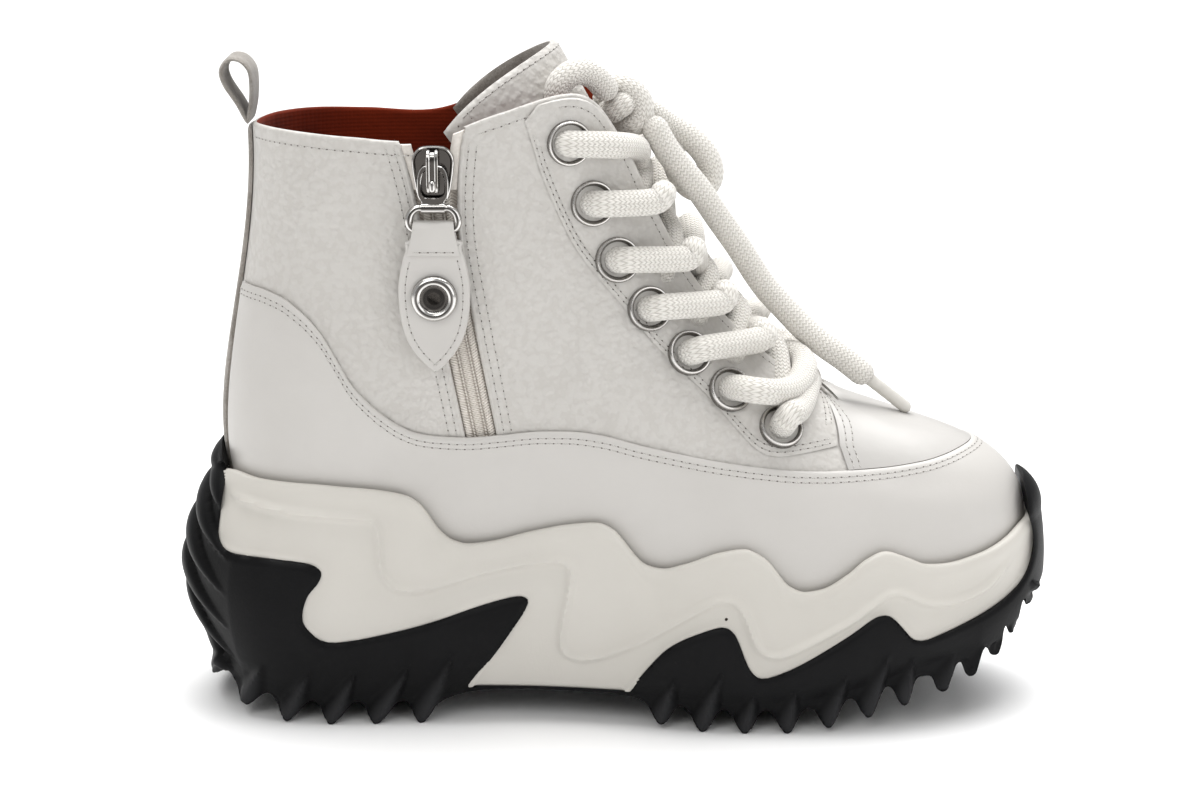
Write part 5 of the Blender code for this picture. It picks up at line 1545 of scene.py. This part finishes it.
# For each pair of eyelets: where a strand passes the throat's edge; the near strand's ridge and lift; the far
# strand's ridge, lift and second height; and the height where both dive under the eyestay.
laceRows = (
    (180.8, 174.5, 5.5, 168.0, 4.6, 165.5, 162.0), (162.8, 156.5, 5.5, 151.5, 4.6, 147.0, 142.5),
    (144.6, 133.5, 4.2, 137.0, 7.0, 131.5, 129.5), (130.0, 124.5, 4.2, 127.0, 7.0, 119.5, 117.5),
    (116.8, 114.5, 4.2, 114.5, 7.0, 108.5, 104.5), (106.5, 103.0, 4.6, 104.0, 4.6, 101.0, 99.0),
    (103.0, 97.5, 4.6, 97.5, 4.6, 96.5, 96.0),
)
# Near strands that wander: the given middle of their way, in place of the throat's edge and the ridge.
ownWays = {
    0: ((-0.4, -27.0, 180.5), (7.1, -12.0, 177.2), (7.6, -6.0, 172.7), (8.6, 2.5, 167.6)),
    5: ((43.5, -36.0, 106.3), (50.8, -31.0, 104.6), (56.6, -23.0, 104.4), (59.8, -14.0, 106.9),
        (59.8, -7.0, 108.9),
        (56.9, -2.0, 110.1), (53.4, 1.0, 109.4), (50.6, 4.0, 105.5)),
    6: ((54.2, -35.0, 98.3), (57.2, -29.0, 98.6), (59.4, -22.0, 100.5), (60.8, -14.0, 102.3),
        (62.0, -6.0, 101.6)),
}


def evenLine(points, step=0.9):
    # A smooth line through the points, sampled at even steps.
    fine = smoothPath(points, 40 * (len(points) - 1))
    lengths = lengthsAlong(fine)
    at = np.linspace(0, lengths[-1], max(int(lengths[-1] / step), 4) + 1)
    return np.stack([np.interp(at, lengths, fine[:, k]) for k in range(3)], -1)


def tongueSpot(z, y, lift):
    # A point this far in front of the tongue at a height z of its middle and a width y.
    along = float(solveFor(lambda a: tonguePoint(a, np.zeros(1))[..., 2] - z, 0.0, 1.0, (1,))[0])
    row = np.interp(along, np.linspace(0, 1, len(tongueSections)), tongueSections[:, 2])
    across = math.asin(max(-0.95, min(0.95, y / row * math.sin(tongueShape["turn"])))) / tongueShape["turn"]
    place, turnAcross = np.array([along]), np.array([across])
    return (tonguePoint(place, turnAcross) + tongueNormal(place, turnAcross) * lift)[0]


def strandStart(i, side):
    # Up out of the eyelet, towards the throat's edge.
    middle, facing = seats[(i, side)]
    s = float(solveFor(lambda place: ribPoint(place, 1.0)[..., 2] - laceRows[i][0], 7.0, 14.0, (1,))[0])
    s = np.array([turn - s if side > 0 else s])
    brink, normal = ribPoint(s, 1.0)[0], ribNormal(s, np.array([1.0]))[0]
    toEdge = unitOf(brink - middle)
    reach = lace["radius"]
    return [middle - facing * 5.0 - toEdge * 0.6, middle + facing * 1.6 + toEdge * 0.5,
            middle + facing * (reach + 1.3) + toEdge * 4.6], s, brink, normal


def strandLine(i, side):
    # From inside the eyelet over the throat's edge and the ridge to beneath the far edge.
    _, nearZ, nearLift, farZ, farLift, farNext, diveZ = laceRows[i]
    points, s, brink, normal = strandStart(i, side)
    if side < 0 and i in ownWays:
        points = points[:2] + list(ownWays[i])
    else:
        inward = unitOf(np.cross((ribPoint(s + 0.04, 1.0) - ribPoint(s - 0.04, 1.0))[0], normal))
        inward = inward * (1 if inward[1] * -side > 0 else -1)
        reach = lace["radius"]
        points += [brink + normal * (skinOff + reach + 0.4) - inward * 1.5,
                   brink + normal * (skinOff + 0.62 * reach) + inward * 0.85 * reach]
        if side < 0:
            points += [tongueSpot(nearZ, 0.0, nearLift), tongueSpot(nearZ - 3.0, 8.5, lace["rest"])]
        else:
            points += [tongueSpot(farZ, 3.0, farLift), tongueSpot(farNext, -5.0, farLift)]
    points += [tongueSpot(diveZ, -side * 14.0, lace["rest"]), tongueSpot(diveZ - 1.5, -side * 18.8, 3.6)]
    return evenLine(points)


def makeLaces():
    for i in range(len(eyeletPlaces)):
        lines = [strandLine(i, -1), strandLine(i, 1)]
        if i == 6:
            near, far = strandStart(6, -1)[0][:2], strandStart(6, 1)[0][:2]
            bar = list(ownWays[6]) + [(62.4, 0.0, 101.2)] + [(x, -y, z) for x, y, z in ownWays[6][::-1]]
            lines = [evenLine(near + bar + far[::-1])]
        pieces = [sweepTube("strand", line, lace["radius"], "lace") for line in lines]
        finishPiece(joined(f"laceStrands_{i + 1}", pieces), "boot", [f"lace_crossing_{i + 1}"])


freeEnd = (
    (13.0, -6.5, 182.4), (17.8, -6.0, 174.2), (26.4, -4.0, 163.4), (32.8, -2.0, 153.9), (39.3, 0.0, 144.4),
    (46.8, 2.0, 132.6), (52.8, 2.0, 125.6), (60.4, 1.0, 117.8), (67.0, 0.0, 112.4), (73.2, 0.0, 108.0),
    (79.0, 0.0, 103.4),
)
tipLine = ((79.4, 0.0, 103.0), (93.2, 0.0, 92.2))
frontLoop = (
    (12.4, 6.4, 185.3), (17.4, 8.0, 181.5), (22.4, 8.5, 178.7), (26.8, 8.5, 175.0), (29.9, 8.5, 170.6),
    (31.0, 8.5, 166.0), (29.4, 8.2, 162.2), (25.6, 7.6, 161.4), (21.8, 7.0, 164.7), (19.6, 7.0, 169.6),
    (18.6, 7.0, 173.0),
)
backLoop = (
    (-17.0, -19.5, 194.4), (-16.2, -19.0, 198.0), (-12.9, -17.5, 200.8), (-9.2, -15.0, 201.2),
    (-5.4, -12.0, 199.0), (-2.4, -9.4, 195.4),
)
knotWrap = ((-2.6, 3.0, 190.5), (-0.8, 0.0, 194.2), (2.2, -3.0, 195.4), (5.4, -4.0, 194.4), (8.4, -4.5, 191.1),
            (8.9, -5.0, 186.4), (6.6, -4.5, 183.6), (3.2, -1.0, 184.0))
knotCore = ((9.0, 2.0, 188.8), (5.5, -3.0, 190.4), (2.6, -6.6, 189.8), (-0.2, -5.4, 187.8), (-1.2, 0.0, 187.0))


def cordPiece(name, points, radius, look, stands):
    line = evenLine(points)
    return finishPiece(sweepTube(name, line, radius, look), "boot", stands), line


def declareCord(line):
    tuple(line[0] * unit)
    [tuple(p * unit) for p in line]


def makeBow():
    radius = lace["radius"]
    wrap = sweepTube("wrap", evenLine(knotWrap), radius - 0.3, "lace")
    core = sweepTube("core", evenLine(knotCore), radius - 0.2, "lace")
    knot = finishPiece(joined("laceKnotTied", [wrap, core]), "boot", ["lace_knot"])
    tip = sweepTube("laceTip", evenLine(tipLine), lace["tip"], "tip", 20)
    finishPiece(tip, "boot", ["lace_aglet"])
    end, line = cordPiece("laceFreeEnd", freeEnd, radius, "lace", ["lace_free_end"])
    declareCord(line)
    back, line = cordPiece("laceBackLoop", backLoop, radius, "lace", ["lace_back_loop"])
    front, line = cordPiece("laceFrontLoop", frontLoop, radius, "lace", ["lace_front_loop"])
    declareCord(line)


zipTape = {"low": 90.0, "sunk": 1.7, "thick": 0.7, "band": 2.5, "middle": 2.7, "welt": 0.8}
hinges = {joint["name"]: np.array(joint["pos_m"]) / unit for joint in frame["joints"]}
linkHinge, pullHinge = hinges["link_hinge"], hinges["pull_hinge"]
pivotY, pinY, barY, hardwareZ = 1.8, -10.2, -16.6, 4.0
zipAcross = np.array((1.0, 0.0, 0.0))
zipUp = unitOf(linkHinge - pullHinge)
zipOut = np.cross(zipAcross, zipUp)
zipOrigin = linkHinge - zipUp * pivotY - zipOut * hardwareZ


def inZip(points):
    # From the slider's own frame (across, up, out) to the boot's.
    points = np.asarray(points, float)
    return zipOrigin + points @ np.array((zipAcross, zipUp, zipOut))


def zipStrip(name, low, high, left, right, lift, thick, look, crown=0.0, steps=90, columns=9):
    # A strip along the zip between two offsets from its middle; crown rounds its face.
    z, u = np.meshgrid(np.linspace(low, high, steps), np.linspace(0, 1, columns), indexing="ij")
    offset = left(z) + (right(z) - left(z)) * u
    s, t = sideSpot(zipLine(z) + offset, z, -1)
    rise = crown * np.sqrt(np.maximum(1 - (2 * u - 1) ** 2, 0.0))
    base = ribPoint(s, t)
    normal = ribNormal(s, t)
    outer, inner = base + normal * (lift + rise)[..., None], base + normal * (lift - thick)
    uvs = np.stack((offset, z), -1).reshape(-1, 2)
    made = meshPiece(name, np.concatenate((outer, inner)), leafFaces(steps, columns), look,
                     uvs=np.concatenate((uvs, uvs)))
    return mend(made, weld)


def level(value):
    return lambda z: np.full(np.shape(z), float(value))


def zipEdge(sign, gap):
    return lambda z: sign * (zipHalf(z) - gap)


def makeTape():
    sunk, low, high = -zipTape["sunk"], zipTape["low"], 169.0
    base = zipStrip("tapeBase", low, 178.0, zipEdge(-1, 0.15), zipEdge(1, 0.15), sunk, zipTape["thick"], "tape")
    flaps = [zipStrip("tapeFlap", 168.0, 184.0, zipEdge(-1, 0.1), zipEdge(-1, 3.4), -0.9, 1.3, "coil", 0.5, 30),
             zipStrip("tapeFlap", 168.0, 186.0, zipEdge(1, 3.4), zipEdge(1, 0.1), -0.9, 1.3, "coil", 0.5, 30)]
    finishPiece(joined("zipTapeWoven", [base] + flaps), "boot", ["zip_tape"], sharp=50)
    half, band = zipTape["middle"] * 0.5, zipTape["band"]
    middle = zipStrip("coilMiddle", low, high, level(-half), level(half), sunk + 0.05, 0.3, "tape", 0.35)
    inner, outer = half + 0.9, half + 0.9 + band
    wings = [zipStrip("coilWing", low, high, level(left), level(right), sunk + 0.05, 0.3, "tape", 0.7)
             for left, right in ((-outer, -inner), (inner, outer))]
    beads = []
    for offset, pitch, size, slant in ((-half - 0.45, 1.05, (0.95, 0.62, 0.55), 0.0),
                                       (half + 0.45, 1.05, (0.95, 0.62, 0.55), 0.0),
                                       (-half - 0.9 - band / 2, 0.85, (band * 0.98, 0.62, 0.5), 0.55),
                                       (half + 0.9 + band / 2, 0.85, (band * 0.98, 0.62, 0.5), -0.55),
                                       (0.0, 0.62, (2.5, 0.42, 0.3), 0.0001)):
        z = np.linspace(low + 0.6, high, 160)
        s, t = sideSpot(zipLine(z) + offset, z, -1)
        normal = ribNormal(s, t)
        lift = sunk + (0.75 if abs(slant) > 0.01 else 0.4)
        at, way, up = evenSteps(ribPoint(s, t) + normal * lift, normal, pitch)
        if slant:
            side = np.cross(up, unitOf(way))
            way = side + unitOf(way) * slant
        beads.append(scatter("coilBeads", at, way, up, size, "coil"))
    finishPiece(joined("zipCoilRows", [middle] + wings + beads), "boot", ["zip_coil"], sharp=50)
    welts = []
    for side in (-1, 1):
        z = np.linspace(zipFoot + 0.4, 184.5, 120)
        s, t = sideSpot(zipLine(z) + side * (zipHalf(z) + 0.35), z, -1)
        line = skinPoint(s, t, np.full(s.shape, -zipTape["welt"] + 0.22))
        welts.append(sweepTube("zipWelt", line, zipTape["welt"], "pebbled", 12))
    finishPiece(joined("zipWelts", welts), "boot", ())


def insetOf(outline, reach):
    # The outline moved inwards (it runs counter-clockwise).
    step = unitOf(np.roll(outline, -1, 0) - np.roll(outline, 1, 0))
    return outline + np.stack((-step[:, 1], step[:, 0]), -1) * reach


def slab(name, outline, levels, look):
    # Rings of an outline, each with its inset and level, closed at both ends.
    rows = [np.column_stack((insetOf(outline, inset), np.full(len(outline), height)))
            for inset, height in levels]
    count = len(outline)
    faces = gridFaces(len(rows), count, True) + [tuple(range(count))[::-1],
                                                 tuple((len(rows) - 1) * count + i for i in range(count))]
    return mend(meshPiece(name, inZip(np.concatenate(rows)), faces, look), split=4)


def hoop(name, outer, inner, low, high, edge, look):
    # A flat frame between two outlines with eased edges.
    loops = [(outer, 0.0, low + edge), (outer, 0.0, high - edge), (outer, edge, high), (inner, -edge, high),
             (inner, 0.0, high - edge), (inner, 0.0, low + edge), (inner, -edge, low), (outer, edge, low)]
    rows = [np.column_stack((insetOf(line, inset), np.full(len(line), height)))
            for line, inset, height in loops]
    count = len(outer)
    faces = [tuple(v % (8 * count) for v in face) for face in gridFaces(9, count, True)]
    return mend(meshPiece(name, inZip(np.concatenate(rows)), faces, look), weld)


def swept(name, path, section, look):
    # A cross-section (across, rise) carried along a path of (up, out); rise points off the path's left.
    path = np.asarray(path, float)
    step = unitOf(np.gradient(path, axis=0))
    left = np.stack((-step[:, 1], step[:, 0]), -1)
    rows = [[(a, p[0] + q[0] * r, p[1] + q[1] * r) for a, r in section] for p, q in zip(path, left)]
    count = len(section)
    faces = gridFaces(len(rows), count, True) + [tuple(range(count))[::-1],
                                                 tuple((len(rows) - 1) * count + i for i in range(count))]
    return mend(meshPiece(name, inZip(np.array(rows)), faces, look), split=4)


sliderSide = ((3.3, -8.4), (4.9, -6.2), (5.7, -2.4), (6.2, 1.2), (6.3, 4.2), (5.2, 6.6), (2.9, 8.0))
linkSide = ((2.9, -9.2), (3.5, -8.2), (4.5, -6.4), (4.7, -3.6), (4.5, -0.8), (3.7, 1.5), (2.1, 2.6))
windowSide = ((1.9, -7.0), (3.1, -6.3), (3.5, -4.9), (3.55, -3.2), (3.3, -1.0), (2.7, 0.5), (1.4, 1.2))
ringSide = ((3.95, -10.2), (4.6, -10.25), (5.6, -10.7), (6.9, -12.2), (7.4, -14.6), (6.5, -16.4), (4.4, -16.6))
tabSide = ((7.2, -20.0), (8.4, -23.0), (9.6, -27.0), (10.7, -33.0), (10.8, -38.0), (10.3, -43.6), (8.9, -49.4),
           (6.4, -54.2), (3.2, -58.0), (0.9, -60.1))
rivetProfile = (
    (0.0, 1.0), (3.7, 1.0), (3.85, 1.25), (4.1, 1.3), (4.3, 1.6), (4.7, 2.0), (5.3, 2.2), (5.9, 2.15),
    (6.5, 1.75),
    (6.9, 1.2), (7.0, 0.7), (7.0, 0.3), (0.0, 0.3),
)


def bothSides(side):
    return [(x, y) for x, y in side] + [(-x, y) for x, y in side[::-1]]


def makeSlider():
    plate = slab("plate", roundOutline(bothSides(sliderSide)),
                 ((0.5, 0.2), (0.1, 0.5), (0.0, 0.9), (0.0, 2.0), (0.12, 2.4), (0.4, 2.6), (0.75, 2.55),
                  (0.95, 2.2),
                  (1.1, 1.9)), "chrome")
    path = evenPath(((6.6, 2.0), (6.6, 4.6), (6.2, 5.6), (5.0, 6.2), (2.0, 6.25), (-2.6, 6.2), (-4.2, 5.8),
                     (-5.0, 4.8), (-5.0, 2.0)))
    section = ((-1.75, 0.0), (-1.75, 0.5), (-1.55, 0.75), (-1.0, 0.8), (-0.7, 0.6), (-0.55, 0.15), (0.55, 0.15),
               (0.7, 0.6), (1.0, 0.8), (1.55, 0.75), (1.75, 0.5), (1.75, 0.0), (1.5, -0.6), (-1.5, -0.6))
    bridge = swept("bridge", path[::-1], section, "chrome")
    knob = sweepTube("knob", inZip([(0.0, y, 6.5) for y in (-4.2, -3.2, -2.4)]), 0.95, "chrome", 14)
    body = joined("zipSliderBody", [plate, bridge, knob])
    markRims(finishPiece(body, "boot", ["zip_slider"], sharp=35), zipOut)


def evenPath(points, step=0.35):
    knots = np.column_stack((np.asarray(points, float), np.zeros(len(points))))
    fine = smoothPath([tuple(p) for p in knots], 20 * (len(points) - 1))
    lengths = lengthsAlong(fine)
    at = np.linspace(0, lengths[-1], int(lengths[-1] / step) + 1)
    return np.stack([np.interp(at, lengths, fine[:, k]) for k in range(2)], -1)


def makeLink():
    low, high = hardwareZ - 0.8, hardwareZ + 0.8
    outline = roundOutline(bothSides(linkSide))
    window = roundOutline(bothSides(windowSide))
    plate = hoop("linkFrame", outline, window, low, high, 0.25, "chrome")
    line = inZip([(x, pinY, hardwareZ) for x in np.linspace(-3.5, 3.5, 12)])
    barrel = sweepTube("barrel", line, 1.65, "chrome", 24, (False, False))
    collars = []
    for side in (-1, 1):
        line = inZip([(x, pinY, hardwareZ) for x in (side * 3.3, side * 3.9)])
        collars.append(sweepTube("collar", line, 1.2, "chrome", 18, (False, False)))
    body = joined("zipLinkFrame", [plate, barrel] + collars)
    markRims(finishPiece(body, "zip_link", ["zip_link"], sharp=35), zipOut)


def makePull():
    half = [(x, y, hardwareZ) for x, y in ringSide]
    left = [(-x, y, z) for x, y, z in half]
    path = evenLine(inZip(left + half[::-1]), 0.45)
    share = np.linspace(-1, 1, len(path))
    radii = 1.1 + 0.16 * np.exp(-((np.abs(share) - 0.62) / 0.16) ** 2)
    ring = sweepTube("zipRingBent", path, radii, "chrome", 16)
    markRims(finishPiece(ring, "zip_pull", ["zip_ring"]), zipOut)
    outline = roundOutline([(0.0, -60.4)] + bothSides(tabSide[::-1])[:len(tabSide)]
                           + [(-x, y) for x, y in tabSide], 6)
    low, high = hardwareZ - 1.5, hardwareZ + 1.5
    leaf = slab("leaf", outline, ((0.55, low), (0.15, low + 0.25), (0.0, low + 0.6), (0.0, high - 0.6),
                                  (0.15, high - 0.25), (0.55, high - 0.02), (1.2, high)), "smooth")
    arc = [(barY + 2.1 * math.sin(a), hardwareZ + 2.1 * math.cos(a)) for a in np.linspace(0.0, math.pi, 14)]
    path = np.array([(-24.4, high + 0.35), (-22.0, high + 0.38), (-19.4, high + 0.42),
                     (-18.0, high + 0.5)] + arc
                    + [(-18.0, low - 0.5), (-19.4, low - 0.42), (-22.0, low - 0.38), (-24.4, low - 0.35)])
    rows = []
    step = unitOf(np.gradient(path, axis=0))
    left = np.stack((-step[:, 1], step[:, 0]), -1)
    section = ((-1.0, -0.25), (-1.0, 0.25), (-0.95, 0.5), (0.95, 0.5), (1.0, 0.25), (1.0, -0.25), (0.95, -0.5),
               (-0.95, -0.5))
    for p, q in zip(path, left):
        wide = np.interp(p[0], (-24.4, -18.0, -14.5), (7.9, 6.5, 6.1))
        rows.append([(x * wide, p[0] + q[0] * r, p[1] + q[1] * r) for x, r in section])
    last = (len(rows) - 1) * 8
    faces = gridFaces(len(rows), 8, True) + [tuple(range(8))[::-1], tuple(last + i for i in range(8))]
    fold = mend(meshPiece("fold", inZip(np.array(rows)), faces, "smooth"), weld)
    finishPiece(joined("zipTabLeaf", [leaf, fold]), "zip_pull", ["zip_tab"], sharp=50)
    edge = insetOf(outline, 2.1)
    edge = edge[edge[:, 1] < -25.6]
    start = int(np.argmax(np.linalg.norm(edge - np.roll(edge, 1, 0), axis=1)))
    edge = np.roll(edge, -start, 0)
    front = np.tile(zipOut, (len(edge), 1))
    across = np.array([(x, -23.4, high + 0.88) for x in np.linspace(-6.6, 6.6, 20)])
    sewn("tabStitches", [(inZip(np.column_stack((edge, np.full(len(edge), high)))), front),
                         (inZip(across), np.tile(zipOut, (len(across), 1)))], "zip_pull")
    rivet = lathe("zipRivetDome", rivetProfile, inZip((0.0, -37.6, high)), zipOut, "chrome", 64)
    markRims(finishPiece(rivet, "zip_pull", ["zip_rivet"], sharp=35), zipOut)


for stage, makers in (
    ("upper and its panels", (makeUpper, makeMudguard, makeVamp, makeEyestays, makeBackstay,
                              makeCollarStitches)),
    ("tongue, pull loop and insole", (makeTongue, makePullLoop, makeInsole)),
    ("sole", (makeMidsole, makeOutsole)),
    ("eyelets and laces", (makeEyelets, makeLaces, makeBow)),
    ("zip", (makeTape, makeSlider, makeLink, makePull)),
):
    for make in makers:
        make()
    print(stage, "ready")
